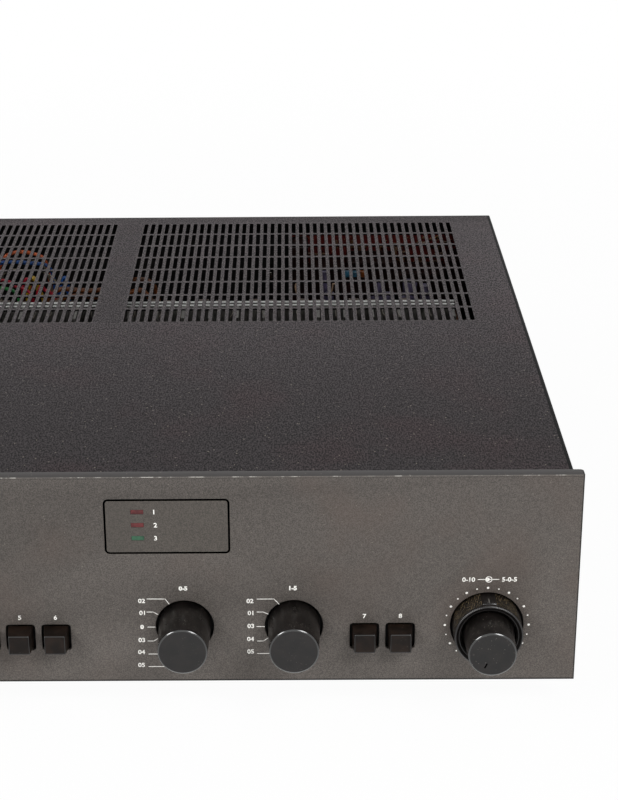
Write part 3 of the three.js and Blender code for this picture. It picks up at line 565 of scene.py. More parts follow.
def panel_paint():
    """Warm grey paint with a fine grain, faint brown clouds and specks of dust, with painted light and shade:
    lighter towards the bottom and the right, a painted shade on the top lip, a painted dark band under the
    top edge, a worn top edge with a painted highlight along it, and painted shade along the lower edge and
    the ends.
    """
    base = palette("panel")
    made = Finish("panel_paint", roughness=0.55, specular=0.25)
    grain = made.noise(2400, 1.0)
    x, y, z = made.axes()

    def top_from(low, high):
        return z.step(panel_high.z - low, panel_high.z - high)

    # Painted light: the same paint is made lighter towards the bottom and a little towards the right, as if
    # lit from the floor in front.
    painted_light_slope = (z - x * 0.13).step(panel_low.z - 0.045, panel_high.z + 0.01)
    dark = made.mixed(painted_light_slope, shade(base, 0.93), shade(base, 0.76))
    light = made.mixed(painted_light_slope, shade(base, 1.25), shade(base, 1.06))
    made.colour(grain.step(0.32, 0.68), dark, light)
    brown = (base[0] * 1.03, base[1] * 0.94, base[2] * 0.9)
    made.coat(made.noise(26, 2.0).step(0.45, 0.75) * 0.35, brown)
    front = 1 - y.step(panel_low.y + 0.0002, panel_low.y + 0.0007)
    # Painted shade: the panel's top face is made cooler and darker than its front, though the paint is the
    # same.
    painted_shade_lip = top_from(0.00012, 0.00004)
    made.coat(painted_shade_lip, shade((base[0] * 0.98, base[1], base[2] * 1.04), 0.72))
    # Painted shade: the paint turns near black along the panel's ends and its lower edge.
    side = x.size().step(panel_high.x - 0.0008, panel_high.x - 0.0004)
    foot = 1 - z.step(panel_low.z + 0.0006, panel_low.z + 0.0012)
    made.coat(side.at_least(foot) * 0.9, shade(base, 0.22))
    # Painted shade: a dark band on the front face just below the rounded top edge.
    painted_shade_band = top_from(0.0011, 0.0009) - top_from(0.0007, 0.0005)
    made.coat(painted_shade_band * front * 0.3, shade(base, 0.4))
    # Worn paint in patches along the top front edge, with a thin painted highlight that runs along all of it.
    edge = top_from(0.0004, 0.00022) * (1 - painted_shade_lip) * front
    chipped = made.noise(210, 4.0, made.stretched(1, 0.2, 0.2), 0.65).step(0.5, 0.62)
    patches = chipped * made.noise(24, 2.0, made.stretched(1, 0.2, 0.2)).step(0.4, 0.55)
    made.coat(edge * (patches * 0.6 + 0.06), (0.8, 0.79, 0.76))
    made.coat(made.specks(420, 0.13) * 0.3, palette("dust"))
    return made.bump(grain, 0.00003, 0.6)


def vent_field(sizes):
    """The left, front, right and back of the right-hand group of vents."""
    half = sizes.pitch / 2
    right = sizes.inner + (sizes.columns - 1) * sizes.pitch + half
    back = cover_high.y - sizes.back + sizes.row_pitch / 2
    return sizes.inner - half, back - sizes.rows * sizes.row_pitch, right, back


def cover_paint():
    """Sandy dark grey paint with reddish clouds and specks of dust, a film lighter towards the back that is
    partly dust and partly painted light, webs lightened as a painted highlight, and painted shade on the
    bends.
    """
    base = palette("cover")
    sizes = bpy.context.scene.amplifier_cover
    left, front, right, back = vent_field(sizes)
    made = Finish("cover_paint", roughness=0.62, specular=0.08)
    x, y, z = made.axes()
    grain = made.noise(1500, 3.0, made.stretched(1, 0.42, 1), 0.65)
    sand = grain.step(0.4, 0.6)
    made.tones(sand, base, 0.42, 1.48)
    red = made.mixed(sand, (0.11, 0.076, 0.078), (0.3, 0.228, 0.236))
    made.coat(made.noise(21, 3.0).step(0.46, 0.72) * 0.33, red)
    along = y.step(front, front + 0.001) * (1 - y.step(back - 0.001, back))
    between = (1 - x.size().step(sizes.inner - 0.004, sizes.inner)) * along
    wiped = between.at_least(y.step(back - 0.002, back + 0.004)) * 0.45
    # Lighter towards the back: a film that is partly dust and partly painted light, thinner between the
    # groups and behind the last row.
    film = y.step(cover_low.y, cover_high.y) * (made.noise(9, 3.0) * 0.5 + 0.5) * (1 - wiped)
    made.coat(film * 0.38, made.mixed(sand, (0.24, 0.224, 0.23), (0.6, 0.562, 0.574)))
    # Painted highlight: the webs between the slots are made paler, as where the punched edges catch the
    # light.
    reach = (right - left) / 2
    across_field = 1 - (x.size() - (left + right) / 2).size().step(reach - 0.0008, reach)
    painted_light_webs = made.mixed(sand, (0.15, 0.142, 0.144), (0.4, 0.38, 0.384))
    made.coat(across_field * along * 0.5, painted_light_webs)
    made.coat(made.specks(330, 0.13).at_least(made.specks(210, 0.09)) * 0.6, palette("dust"))
    # Painted shade: the bends at the sides and the back are made near black.
    side = x.size().step(cover_high.x - 0.0021, cover_high.x - 0.0018)
    rear = y.step(cover_high.y - 0.0024, cover_high.y - 0.0016) * 0.7
    high = z.step(cover_high.z - sizes.bend, cover_high.z - sizes.bend * 0.7)
    made.coat(side.at_least(rear) * high, shade(base, 0.06))
    return made.bump(grain, 0.0001, 0.8)


def cover_primer():
    """Near-black primer on the cover's inner face and the walls of its slots: painted shade."""
    tones = (0.01, 0.01, 0.01), (0.028, 0.026, 0.026)
    relief = (None, 0.00006, 0.5)
    return mottled("cover_primer", *tones, 700, (0.3, 0.7), relief, roughness=0.8, specular=0.03)


def chassis_steel():
    """Black painted steel with a fine texture and faint handling marks, and painted shade that makes it near
    black inside the case.
    """
    base = palette("steel")
    made = Finish("chassis_steel", roughness=0.6, specular=0.2)
    grain = made.noise(900, 3.0, roughness=0.65)
    marks = made.noise(18, 5.0, roughness=0.6).step(0.52, 0.7)
    made.tones(grain.step(0.35, 0.65), base, 0.8, 1.25)
    made.coat(marks * 0.3, shade(base, 1.6))
    x, y, z = made.axes()
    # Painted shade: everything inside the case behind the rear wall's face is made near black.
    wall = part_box("rear_panel")[1].y - 0.0008
    inner = (1 - y.step(wall, wall + 0.0002)) * z.step(panel_low.z + 0.003, panel_low.z + 0.0034)
    made.coat(inner * (1 - x.size().step(0.2, 0.2025)), (0.03, 0.03, 0.03))
    made.rough(marks * 0.1 + 0.55)
    return made.bump(grain, 0.00006, 0.6)


FACE_DUST = 0.25


def moulded(name, base, roughness, dusty=0.5, specular=0.5, haze=0.0, face=None, settled=0.0):
    """Moulded plastic with a fine grain, uneven gloss and specks of dust.

    Where the place of a wiped face is given, there is haze behind it, and the face keeps
    few specks, or more of them as settled rises.
    """
    made = Finish(name, roughness=roughness, specular=specular)
    film = made.noise(190, 3.0)
    made.tones(film.step(0.35, 0.7), base, 0.75, 1.3)
    clusters = made.noise(60, 2.0).step(0.45 - settled, 0.62 - settled)
    if face is not None:
        unwiped = made.axes()[1].step(face + 0.0004, face + 0.0012)
        patches = made.noise(1700, 4.0).step(0.5, 0.64) * made.noise(110, 2.0).step(0.35, 0.6)
        made.coat(patches * unwiped * haze, shade(palette("dust"), 0.55))
        kept = FACE_DUST + settled
        clusters = clusters * (unwiped * (1 - kept) + kept)
    dust = made.specks(900, 0.2).at_least(made.specks(560, 0.13)) * clusters
    made.coat(dust * dusty, (0.5, 0.48, 0.45))
    made.rough(film * 0.14 + (roughness - 0.07))
    return made.bump(made.noise(2200), 0.00002, 0.5)


def polished_edge(name="polished_edge", specular=1.0):
    """The chamfers that the mould leaves glossy, with a little grease and dust."""
    made = Finish(name, roughness=0.2, specular=specular)
    film = made.noise(260, 3.0)
    made.colour(film.step(0.4, 0.7), (0.024, 0.024, 0.024), (0.06, 0.056, 0.052))
    made.rough(film * 0.14 + 0.07)
    return made.bump(made.noise(900), 0.00001, 0.4)


def ring_plastic():
    """The balance ring's plastic, with brown-gold specks between its ribs, most of them on its upper side:
    partly dust, partly a painted highlight.
    """
    base = palette("knob")
    x, z = across("ring_balance")
    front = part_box("ring_balance")[0].y
    pad_half = bpy.context.scene.amplifier_controls.pad / 2
    made = Finish("ring_plastic", roughness=0.36)
    ax, ay, az = made.axes()
    side = ay.step(front + 0.0012, front + 0.0022)
    clear = (ax - x).size().step(pad_half - 0.0002, pad_half + 0.0003)
    # Mostly on the upper side: partly settled dust, partly a painted highlight on the upper ribs.
    dust_and_light_above = (az - z).step(0.0, 0.006)
    around = (ax - x).maths("ARCTAN2", az - z)
    groove = (0 - (around * (RIBS / 2)).maths("COSINE")).step(-0.2, 0.8)
    caught = made.noise(1100, 4.0).step(0.44, 0.6)
    dusty = made.mixed(caught * groove, shade(base, 0.7), (0.47, 0.41, 0.31))
    made.colour(side * clear * (dust_and_light_above * 0.85 + 0.1), base, dusty)
    return made.bump(made.noise(1500), 0.00003, 0.5)


def printing_ink():
    made = Finish("printing_ink", roughness=0.55)
    made.tones(made.noise(1400, 3.0).step(0.3, 0.5), palette("printing"), 0.85, 1.0)
    return made.material


def window_plastic():
    """Smoked plastic with a fine satin grain, in the panel's tone."""
    base = palette("window")
    made = Finish("window_plastic", roughness=0.45, specular=0.35)
    grain = made.noise(2300, 1.0)
    made.tones(grain.step(0.3, 0.7), base, 0.84, 1.14)
    made.coat(made.noise(45, 3.0).step(0.4, 0.7) * 0.3, shade(base, 0.88))
    return made.bump(grain, 0.00003, 0.5)


def lamp_lens(name, base):
    """An unlit diffusing lens behind the smoked window, uneven in tone."""
    tones = shade(base, 0.82), shade(base, 1.12)
    return mottled(name, *tones, 420, (0.3, 0.7), (900, 0.00003, 0.4), roughness=0.45, specular=0.3)


def black_line():
    made = Finish("dark_gap", roughness=0.9, specular=0.0)
    made.colour(made.noise(800), (0.0, 0.0, 0.0), (0.015, 0.015, 0.015))
    return made.material


def plain_metal(name, base, roughness):
    """Metal with fine marks that dull it in places."""
    made = Finish(name, roughness=roughness, metallic=0.95)
    marks = made.noise(500, 4.0)
    made.tones(marks.step(0.3, 0.75), base, 0.82, 1.1)
    made.rough(marks * 0.2 + (roughness - 0.1))
    return made.bump(marks, 0.00002, 0.4)


def sink_aluminium():
    """Extruded aluminium: upright fins dulled by dust, and a painted highlight that makes the bar's ridges
    near white.
    """
    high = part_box("heat_sink")[1]
    made = Finish("sink_aluminium", roughness=0.4)
    y, z = made.axes()[1:]
    streaks = made.noise(420, 3.0, made.stretched(6, 6, 0.6))
    # Painted highlight: the bar's ridges are near white and barely metallic.
    painted_highlight_ridges = z.step(high.z - 0.0006, high.z - 0.0001) * y.step(high.y - 0.0072, high.y - 0.0068)
    made.feed(made.shader.inputs["Metallic"], 0.7 - painted_highlight_ridges * 0.55)
    made.colour(streaks.step(0.35, 0.7), (0.34, 0.33, 0.32), (0.58, 0.57, 0.55))
    made.coat(painted_highlight_ridges, made.mixed(made.noise(200, 3.0), (0.85, 0.85, 0.84), (0.99, 0.99, 0.98)))
    return made.bump(streaks, 0.00003, 0.5)


def board_laminate(name, base, copper):
    """Circuit board with tracks seen through its lacquer."""
    made = Finish(name, roughness=0.4)
    tracks = 1 - (made.cells(130, 0.7, distance="CHEBYCHEV") - 0.42).size().step(0.03, 0.07)
    made.tones(made.noise(350, 3.0), base, 0.85, 1.15)
    made.coat(tracks * 0.8, copper)
    return made.bump(tracks, 0.00003, 0.5)


def laminated_steel():
    """Stacked varnished sheets, seen as fine lines across the stack."""
    made = Finish("laminated_steel", roughness=0.4, metallic=0.7)
    sheets = (made.axes()[0] * 9000).maths("SINE").step(-0.4, 0.8)
    made.colour(made.noise(90, 4.0), (0.2, 0.2, 0.21), (0.34, 0.33, 0.32))
    made.coat(sheets * 0.5, (0.13, 0.12, 0.12))
    return made.bump(sheets, 0.00006, 0.6)


def winding_tape():
    """Yellow tape wound in turns up the coil."""
    made = Finish("winding_tape", roughness=0.35)
    turns = (made.axes()[2] * 900).maths("SINE").step(0.7, 0.95)
    made.colour(made.noise(120, 3.0), (0.62, 0.47, 0.16), (0.74, 0.58, 0.24))
    made.coat(turns * 0.7, (0.42, 0.3, 0.1))
    return made.bump(turns, 0.0001, 0.5)


def capacitor_sleeve(name, base):
    tones = shade(base, 0.8), shade(base, 1.25)
    return mottled(name, *tones, 240, (0.35, 0.7), (None, 0.00005, 0.3), roughness=0.28)


def wire_cover(name, base):
    return mottled(name, shade(base, 0.75), base, 300, (0.3, 0.7), (None, 0.00003, 0.4), roughness=0.38)


def tyre_rubber():
    tones = (0.08, 0.08, 0.08), (0.16, 0.155, 0.15)
    return mottled("foot_rubber", *tones, 260, (0.35, 0.7), (1300, 0.00008, 0.6), 4.0, roughness=0.7)


def seen_white(nodes):
    """1 for the rays that see the floor and the backdrop as white."""
    rays = ("Is Camera Ray", "Is Glossy Ray", "Is Transmission Ray")
    camera, glossy, through = nodes.outputs("ShaderNodeLightPath", {}, *rays)
    return camera.at_least(glossy).at_least(through)


def floor_paint():
    """A pale floor that reads as white and keeps the shadow of what stands on it."""
    made = Finish("floor_paint", roughness=0.9)
    made.colour(made.noise(3), (0.93, 0.93, 0.93), (0.95, 0.95, 0.95))
    x, y = made.axes()[:2]
    far = ((x * x + y * y) ** 0.5).step(0.35, 1.1)
    glow = made.node("ShaderNodeEmission", {}, {"Color": (1.0, 1.0, 1.0), "Strength": 1.0})
    plain = Value(made, made.shader.outputs[0])
    inputs = {0: seen_white(made) * (far * 0.035 + 0.965), 1: plain, 2: glow}
    both = made.node("ShaderNodeMixShader", {}, inputs)
    made.feed(made.tree.nodes["Material Output"].inputs["Surface"], both)
    return made.material


# Stage

# The photo's width, height and optical centre in pixels, from the fitted camera
PHOTO = 618, 800
OPTICAL_CENTRE = 275.663466, 343.425824
# Strength of the backdrop's light on the object
AMBIENT = 0.33


class AMPLIFIER_OT_camera(bpy.types.Operator):
    """Sets the camera that looks down on the right of the panel"""

    bl_idname = "amplifier.camera"
    bl_label = "Camera"

    def execute(self, context):
        deselect()
        bpy.ops.object.camera_add(location=(0.0905239, panel_low.y - 0.6941783, 0.4393793))
        camera = named("camera")
        camera.rotation_euler = [math.radians(angle) for angle in (68.50698016, 0.48733968, 0.2847302)]
        camera.data.lens = 84.9656
        camera.data.sensor_width = 36.0
        camera.data.shift_x = (PHOTO[0] / 2 - OPTICAL_CENTRE[0]) / PHOTO[1]
        camera.data.shift_y = (OPTICAL_CENTRE[1] - PHOTO[1] / 2) / PHOTO[1]
        camera.data.clip_start = 0.01
        camera.data.clip_end = 20.0
        context.scene.camera = camera
        return {"FINISHED"}


class AMPLIFIER_OT_stage(bpy.types.Operator):
    """Lays the floor and sets soft studio light"""

    bl_idname = "amplifier.stage"
    bl_label = "Floor and light"

    def execute(self, context):
        deselect()
        bpy.ops.mesh.primitive_plane_add(size=12, location=(0, 0, 0))
        floor = named("floor")
        floor.data.materials.append(floor_paint())
        target = (0.08, -0.1, 0.06)
        self.lamp("left_lamp", (-1.15, -0.95, 1.1), target, 0.6, 14)
        self.lamp("right_lamp", (0.82, -0.9, 1.14), target, 0.6, 11)
        self.lamp("low_lamp", (0.12, -1.7, 0.12), (0.08, -0.17, 0.04), 1.4, 9)
        world = bpy.data.worlds.new("studio")
        context.scene.world = world
        world.use_nodes = True
        nodes = Nodes(world.node_tree)
        back = nodes.tree.nodes["Background"]
        nodes.feed(back.inputs["Color"], (1.0, 1.0, 1.0))
        nodes.feed(back.inputs["Strength"], seen_white(nodes) * (1 - AMBIENT) + AMBIENT)
        context.scene.view_settings.view_transform = "Standard"
        return {"FINISHED"}

    def lamp(self, name, place, target, size, power):
        deselect()
        bpy.ops.object.light_add(type="AREA", location=place)
        lamp = named(name)
        lamp.data.shape = "SQUARE"
        lamp.data.size = size
        lamp.data.energy = power
        aim = Vector(target) - Vector(place)
        lamp.rotation_euler = aim.to_track_quat("-Z", "Y").to_euler()


# Case

class AMPLIFIER_OT_cover(bpy.types.Operator):
    """Bends the perforated cover from one sheet"""

    bl_idname = "amplifier.cover"
    bl_label = "Perforated cover"

    def execute(self, context):
        sizes = context.scene.amplifier_cover
        cover = merge("perforated_cover", [self.skin(sizes), self.vents(sizes, 1), self.vents(sizes, -1)])
        self.close_top(cover, sizes)
        wear(cover, cover_paint(), stands_for=["top_cover"])
        # The inner face and the slots' walls take a near-black painted shade.
        cover.data.materials.append(cover_primer())
        modify(
            cover, "SOLIDIFY", thickness=sizes.sheet, offset=-1.0, use_even_offset=True,
            material_offset=1, material_offset_rim=1,
        )
        smooth(soften(cover, 0.00014, segments=1, angle=60), 40)
        return {"FINISHED"}

    def skin(self, sizes):
        """The outer skin: a box without its front, top, bottom and the lower part of its back."""
        skin = add_block("skin", cover_low, cover_high)
        at_top, at_front = all_near(2, cover_high.z), all_near(1, cover_low.y)
        round_edges(skin, lambda edge: at_top(edge) and not at_front(edge), sizes.bend, 8)
        flange_foot = cover_high.z - sizes.flange
        behind = facing(y=1)
        with Editing(skin) as edit:
            edit.faces(behind)
            bpy.ops.mesh.bisect(plane_co=(0, 0, flange_foot), plane_no=(0, 0, 1))
            below_flange = lambda face: behind(face) and face.calc_center_median().z < flange_foot
            for open_side in (facing(y=-1), facing(z=-1), below_flange):
                edit.faces(open_side)
                bpy.ops.mesh.delete(type="FACE")
            edit.faces(facing(z=1, least=0.999))
            bpy.ops.mesh.delete(type="ONLY_FACE")
        return skin

    def vents(self, sizes, side):
        """One group of slots: a cell with its slot, repeated along both ways."""
        left, front, right = vent_field(sizes)[:3]
        x = (left if side > 0 else -right) + sizes.pitch / 2
        middle = Vector((x, front + sizes.row_pitch / 2, cover_high.z))
        deselect()
        bpy.ops.mesh.primitive_plane_add(size=1, location=middle)
        cell = named("vents")
        cell.scale = (sizes.pitch, sizes.row_pitch, 1)
        settle(cell)
        wall = (sizes.pitch - sizes.slot_width) / 2
        with Editing(cell) as edit:
            edit.faces(lambda face: True)
            bpy.ops.mesh.inset(thickness=wall)
            stretch = sizes.slot_length / (sizes.row_pitch - 2 * wall)
            bpy.ops.transform.resize(value=(1, stretch, 1))
            bpy.ops.mesh.bevel(offset=sizes.slot_corner, segments=3, affect="VERTICES")
            edit.faces(lambda face: (face.calc_center_median() - middle).length < TOUCH)
            bpy.ops.mesh.delete(type="FACE")
        for count, offset in ((sizes.columns, (sizes.pitch, 0, 0)), (sizes.rows, (0, sizes.row_pitch, 0))):
            modify(
                cell, "ARRAY", count=count, use_relative_offset=False, use_constant_offset=True,
                constant_offset_displace=offset, use_merge_vertices=True, merge_threshold=TOUCH,
            )
        return cell

    def close_top(self, cover, sizes):
        """Fills the plain part of the top between its edges and the groups of slots."""
        left, front, right, back = vent_field(sizes)
        side = cover_high.x - sizes.bend
        frames = (
            (-side, cover_low.y, side, cover_high.y - sizes.bend),
            (left, front, right, back),
            (-right, front, -left, back),
        )
        lines = []
        for x0, y0, x1, y1 in frames:
            lines += [(0, x0, y0, y1), (0, x1, y0, y1), (1, y0, x0, x1), (1, y1, x0, x1)]
        at_top = all_near(2, cover_high.z)
        near = 2 * TOUCH

        def on_line(edge, axis, place, low, high):
            ends = [point.co[1 - axis] for point in edge.verts]
            return all_near(axis, place, near)(edge) and low - near < min(ends) and max(ends) < high + near

        with Editing(cover) as edit:
            edit.edges(
                lambda edge: at_top(edge)
                and len(edge.link_faces) < 2
                and any(on_line(edge, *line) for line in lines)
            )
            bpy.ops.mesh.fill(use_beauty=False)
            bpy.ops.mesh.select_all(action="SELECT")
            bpy.ops.mesh.remove_doubles(threshold=TOUCH / 5)
            bpy.ops.mesh.normals_make_consistent(inside=False)


class AMPLIFIER_OT_front_panel(bpy.types.Operator):
    """Cuts the front panel and its openings"""

    bl_idname = "amplifier.front_panel"
    bl_label = "Front panel"

    def execute(self, context):
        sizes = context.scene.amplifier_panel
        panel = add_block("front_plate", panel_low, panel_high)
        front, back = panel_low.y, panel_high.y
        upright, back_edge = runs_along(2), all_near(1, back)
        round_edges(panel, lambda edge: upright(edge) and back_edge(edge), sizes.back_corner)
        round_edges(panel, all_near(1, front), sizes.edge, 2)
        rim, behind = Vector((sizes.rim, 0, sizes.rim)), Vector((0, sizes.web, 0))
        cut_away(panel, add_block("hollow", panel_low + rim + behind, panel_high - rim + behind))
        reach = (front - sizes.web, back)
        holes = [add_rod("hole", across("knob_" + name), sizes.knob_hole, *reach) for name in KNOBS]
        holes.append(add_rod("hole", across("ring_balance"), sizes.volume_hole, *reach, sides=128))
        holes.append(add_rod("hole", across("headphone_jack"), JACK_HOLE, *reach, sides=64))
        for name in BUTTONS:
            recess = add_bar("recess", across("button_" + name), sizes.recess / 2, *reach)
            holes.append(round_upright(recess, sizes.recess_corner))
        cut_away(panel, merge("holes", holes))
        low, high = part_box("status_window")
        margin = sizes.window_margin
        seat_low = (low.x - margin, front - sizes.web, low.z - margin)
        seat_high = (high.x + margin, front + sizes.window_recess, high.z + margin)
        cut_away(panel, round_upright(add_block("seat", seat_low, seat_high), sizes.window_corner))
        low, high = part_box("lamp_board")
        cut_away(panel, add_block("way", (low.x, front, low.z), (high.x, back, high.z)))
        smooth(soften(panel, 0.00015, angle=50), 35)
        wear(panel, panel_paint(), stands_for=["front_panel"])
        return {"FINISHED"}


class AMPLIFIER_OT_status_window(bpy.types.Operator):
    """Fits the status window with its three lamps"""

    bl_idname = "amplifier.status_window"
    bl_label = "Status window"

    def execute(self, context):
        sizes = context.scene.amplifier_panel
        low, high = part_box("status_window")
        gap = sizes.window_gap
        margin = sizes.window_margin + TOUCH
        seat_low = low + Vector((-margin, 0.00006, -margin))
        seat_high = high + Vector((margin, 0.0001, margin))
        # Painted shade: a near-black rim fills the gap round the window.
        rim = round_upright(add_block("window_rim", seat_low, seat_high), sizes.window_corner)
        ledge = Vector((0.003, -0.001, 0.003))
        cut_away(rim, add_block("way", seat_low + ledge, seat_high - ledge))
        soften(rim, 0.00008, segments=1, angle=50)
        wear(smooth(rim), black_line())
        inset = Vector((1, 0, 1)) * (gap - sizes.window_margin)
        plate = round_upright(add_block("window_plate", low + inset, high - inset), sizes.window_corner - gap)
        room, depth = Vector((0.00002, 0, 0.00002)), Vector((0, 0.001, 0))
        ways = []
        for node in LAMPS:
            low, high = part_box(node)
            ways.append(add_block("way", low - room - depth, high + room))
        cut_away(plate, merge("ways", ways))
        smooth(soften(plate, 0.00004, segments=1, angle=50))
        wear(plate, window_plastic(), stands_for=["status_window"])
        red = lamp_lens("red_lens", (0.35, 0.15, 0.155))
        green = lamp_lens("green_lens", (0.19, 0.33, 0.25))
        for node, finish, slot in zip(LAMPS, (red, red, green), ("lamp_red", "lamp_red", "lamp_green")):
            lens = smooth(soften(add_block("lens_" + node, *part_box(node)), 0.00012, segments=3))
            wear(lens, finish, stands_for=[node])
        return {"FINISHED"}


class AMPLIFIER_OT_chassis(bpy.types.Operator):
    """Finishes the tray and rear panel and makes the feet"""

    bl_idname = "amplifier.chassis"
    bl_label = "Chassis and feet"

    def execute(self, context):
        finish_nodes(chassis_steel(), "base_tray", "rear_panel")
        rubber = tyre_rubber()
        top = cover_low.z - 0.0003
        for node in FEET:
            low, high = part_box(node)
            radius = (high.x - low.x) / 2
            foot = add_post("rubber_" + node, centre_of(node).xy, radius, 0, top, 64, radius - 0.002)
            recess_face(foot, facing(z=-1), 0.0045, 0.0025)
            smooth(soften(foot, 0.0009, segments=3, angle=40))
            wear(foot, rubber, stands_for=[node])
        return {"FINISHED"}


# Controls

CHAMFER = math.tan(math.radians(43))
JACK_BORE = 0.0033
STEM_HALF = 0.002
# An index's half width, its start and end off the knob's axis and its degrees from the top
TONE_INDEX = 0.00045, 0.0058, 0.0086, 0
VOLUME_INDEX = 0.00032, 0.0046, 0.007, -154
GROOVE = 0.0006
RING_CHAMFER = 0.00042
RING_FLOOR = 0.003
# Steps inward across the balance ring's front: width, then depth from the step before
RING_STEPS = (
    (0.0005, 0.0), (0.0002, 0.0), (0.0010, 0.0009), (0.00012, -0.0003),
    (0.00025, 0.0), (0.00012, 0.0004), (0.0005, 0.0004),
)


def off_axis(point, place):
    """A point's distance from the axis along Y at place, an x and a z."""
    return math.hypot(point.co.x - place[0], point.co.z - place[1])


def knob_body(name, place, face, base, front, back, edge):
    """A tapered knob with a chamfer round a face that is a little sunk."""
    knob = add_rod(name, place, face, front, back, ROUND, base)
    inner = face - edge + TOUCH
    with Editing(knob) as edit:
        edit.faces(facing(y=-1, least=0.999))
        bpy.ops.mesh.inset(thickness=edge)
        edit.points(lambda point: point.co.y < front + TOUCH and off_axis(point, place) > inner)
        bpy.ops.transform.translate(value=(0, edge * CHAMFER, 0))
        edit.faces(facing(y=-1, least=0.9999))
        bpy.ops.mesh.inset(thickness=edge * 0.25)
        bpy.ops.transform.translate(value=(0, edge * 0.2, 0))
    return smooth(soften(knob, edge * 0.14, angle=24))


def index_bar(name, place, front, back, half, start, end, degrees):
    """A bar across a knob's face, from start to end off its axis, turned from the top."""
    x, z = place
    bar = add_block(name, (x - half, front, z + start), (x + half, back, z + end))
    return turned(bar, math.radians(degrees), (x, 0, z))


def on_chamfer(face):
    """A test for the faces of the chamfer round a control's front."""
    return 0.3 < -face.normal.y < 0.97


def finish_controls(can, shaft, names):
    """Finishes the controls and shafts behind the panel."""
    finish_nodes(plain_metal(can, (0.55, 0.55, 0.56), 0.4), *["control_" + name for name in names])
    finish_nodes(plain_metal(shaft, (0.62, 0.62, 0.63), 0.35), *["shaft_" + name for name in names])


class AMPLIFIER_OT_small_knobs(bpy.types.Operator):
    """Turns the bass, treble, record and listen knobs"""

    bl_idname = "amplifier.small_knobs"
    bl_label = "Small knobs"

    def execute(self, context):
        sizes = context.scene.amplifier_controls
        plastic = moulded(
            "knob_plastic", palette("knob"), 0.3, dusty=0.6, specular=0.44, haze=0.3,
            face=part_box("knob_bass")[0].y, settled=0.06,
        )
        edge = polished_edge()
        for name in KNOBS:
            low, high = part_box("knob_" + name)
            place = across("knob_" + name)
            radii = sizes.knob_face, sizes.knob_base
            knob = knob_body("cap_" + name, place, *radii, low.y, high.y, sizes.knob_edge)
            if name in TONE_KNOBS:
                cut_away(knob, index_bar("groove", place, low.y - 0.001, low.y + GROOVE, *TONE_INDEX))
                smooth(knob)
            body = name + ("_selector" if name + "_selector" in frame["bodies"] else "_knob")
            wear(knob, plastic, body, ["knob_" + name])
            wear_on_faces(knob, edge, on_chamfer)
        finish_controls("control_can", "shaft_steel", KNOBS)
        return {"FINISHED"}


class AMPLIFIER_OT_volume_control(bpy.types.Operator):
    """Turns the volume knob and the ribbed balance ring round it"""

    bl_idname = "amplifier.volume_control"
    bl_label = "Volume and balance"

    def execute(self, context):
        sizes = context.scene.amplifier_controls
        place = across("ring_balance")
        low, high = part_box("knob_volume")
        radii = sizes.volume_face, sizes.volume_base
        knob = knob_body("cap_volume", place, *radii, low.y, high.y, sizes.knob_edge)
        groove_end = low.y + GROOVE
        smooth(cut_away(knob, index_bar("tick", place, low.y - 0.001, groove_end, *VOLUME_INDEX)))
        plastic = moulded(
            "volume_plastic", palette("knob"), 0.3, dusty=0.9, specular=0.44, haze=0.34,
            face=low.y, settled=0.22,
        )
        wear(knob, plastic, "volume_knob", ["knob_volume"])
        wear_on_faces(knob, polished_edge(), on_chamfer)
        index = index_bar("index_volume", place, groove_end - 0.0003, groove_end, *VOLUME_INDEX)
        wear(soften(index, 0.00008), black_line(), "volume_knob")
        self.ring(sizes, place)
        finish_controls("volume_can", "volume_shaft", ["volume"])
        finish_nodes(plain_metal("turned_brass", (0.72, 0.59, 0.3), 0.32), "sleeve_balance")
        return {"FINISHED"}

    def ring(self, sizes, place):
        """A cup with ribs round its side, a smooth pad at its top and a fine index line."""
        low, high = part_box("ring_balance")
        front, back = low.y, high.y
        x, z = place
        half = sizes.pad / 2

        def in_rib(point):
            angle = math.atan2(point.co.x - x, point.co.z - z)
            near_pad = point.co.z > z and abs(point.co.x - x) < half
            return round(angle * RIBS / math.tau) % 2 == 1 and not near_pad

        ring = add_rod("balance_ring", place, sizes.ring_face, front, back, RIBS, sizes.ring_base)
        inner = sizes.ring_face - RING_CHAMFER
        outside = lambda point: off_axis(point, place) > inner + TOUCH
        share = 1 - sizes.rib_depth / sizes.ring_face
        with Editing(ring) as edit:
            edit.faces(facing(y=-1))
            for width, depth in RING_STEPS:
                bpy.ops.mesh.inset(thickness=width)
                bpy.ops.transform.translate(value=(0, depth, 0))
            bpy.ops.mesh.extrude_region_move(
                TRANSFORM_OT_translate={"value": (0, back - front - RING_FLOOR, 0)}
            )
            edit.points(lambda point: outside(point) and point.co.y < front + TOUCH)
            bpy.ops.transform.translate(value=(0, RING_CHAMFER * CHAMFER, 0))
            edit.points(lambda point: outside(point) and in_rib(point))
            bpy.ops.transform.resize(value=(share, 1, share), center_override=(x, 0, z))
        pad_front, edge = front + 0.002, z + sizes.ring_face
        pad_high = (x + half, panel_low.y + 0.0002, edge + 0.00016)
        pad = add_block("pad", (x - half, pad_front, edge - 0.0012), pad_high)
        soften(pad, 0.0003, segments=3)
        mark_low = (x - 0.00022, pad_front + 0.0012, edge - 0.00044)
        mark = add_block("index_balance", mark_low, (x + 0.00022, pad_front + 0.0046, edge + 0.00024))
        smooth(soften(mark, 0.00008))
        ring = smooth(merge("balance_ring", [ring, pad]), 25)
        wear(ring, ring_plastic(), "balance_ring", ["ring_balance"])
        rim = lambda face: on_chamfer(face) and off_axis(face.verts[0], place) > inner - TOUCH
        wear_on_faces(ring, polished_edge(), rim)
        wear(mark, wire_cover("index_line", (0.42, 0.41, 0.39)), "balance_ring")


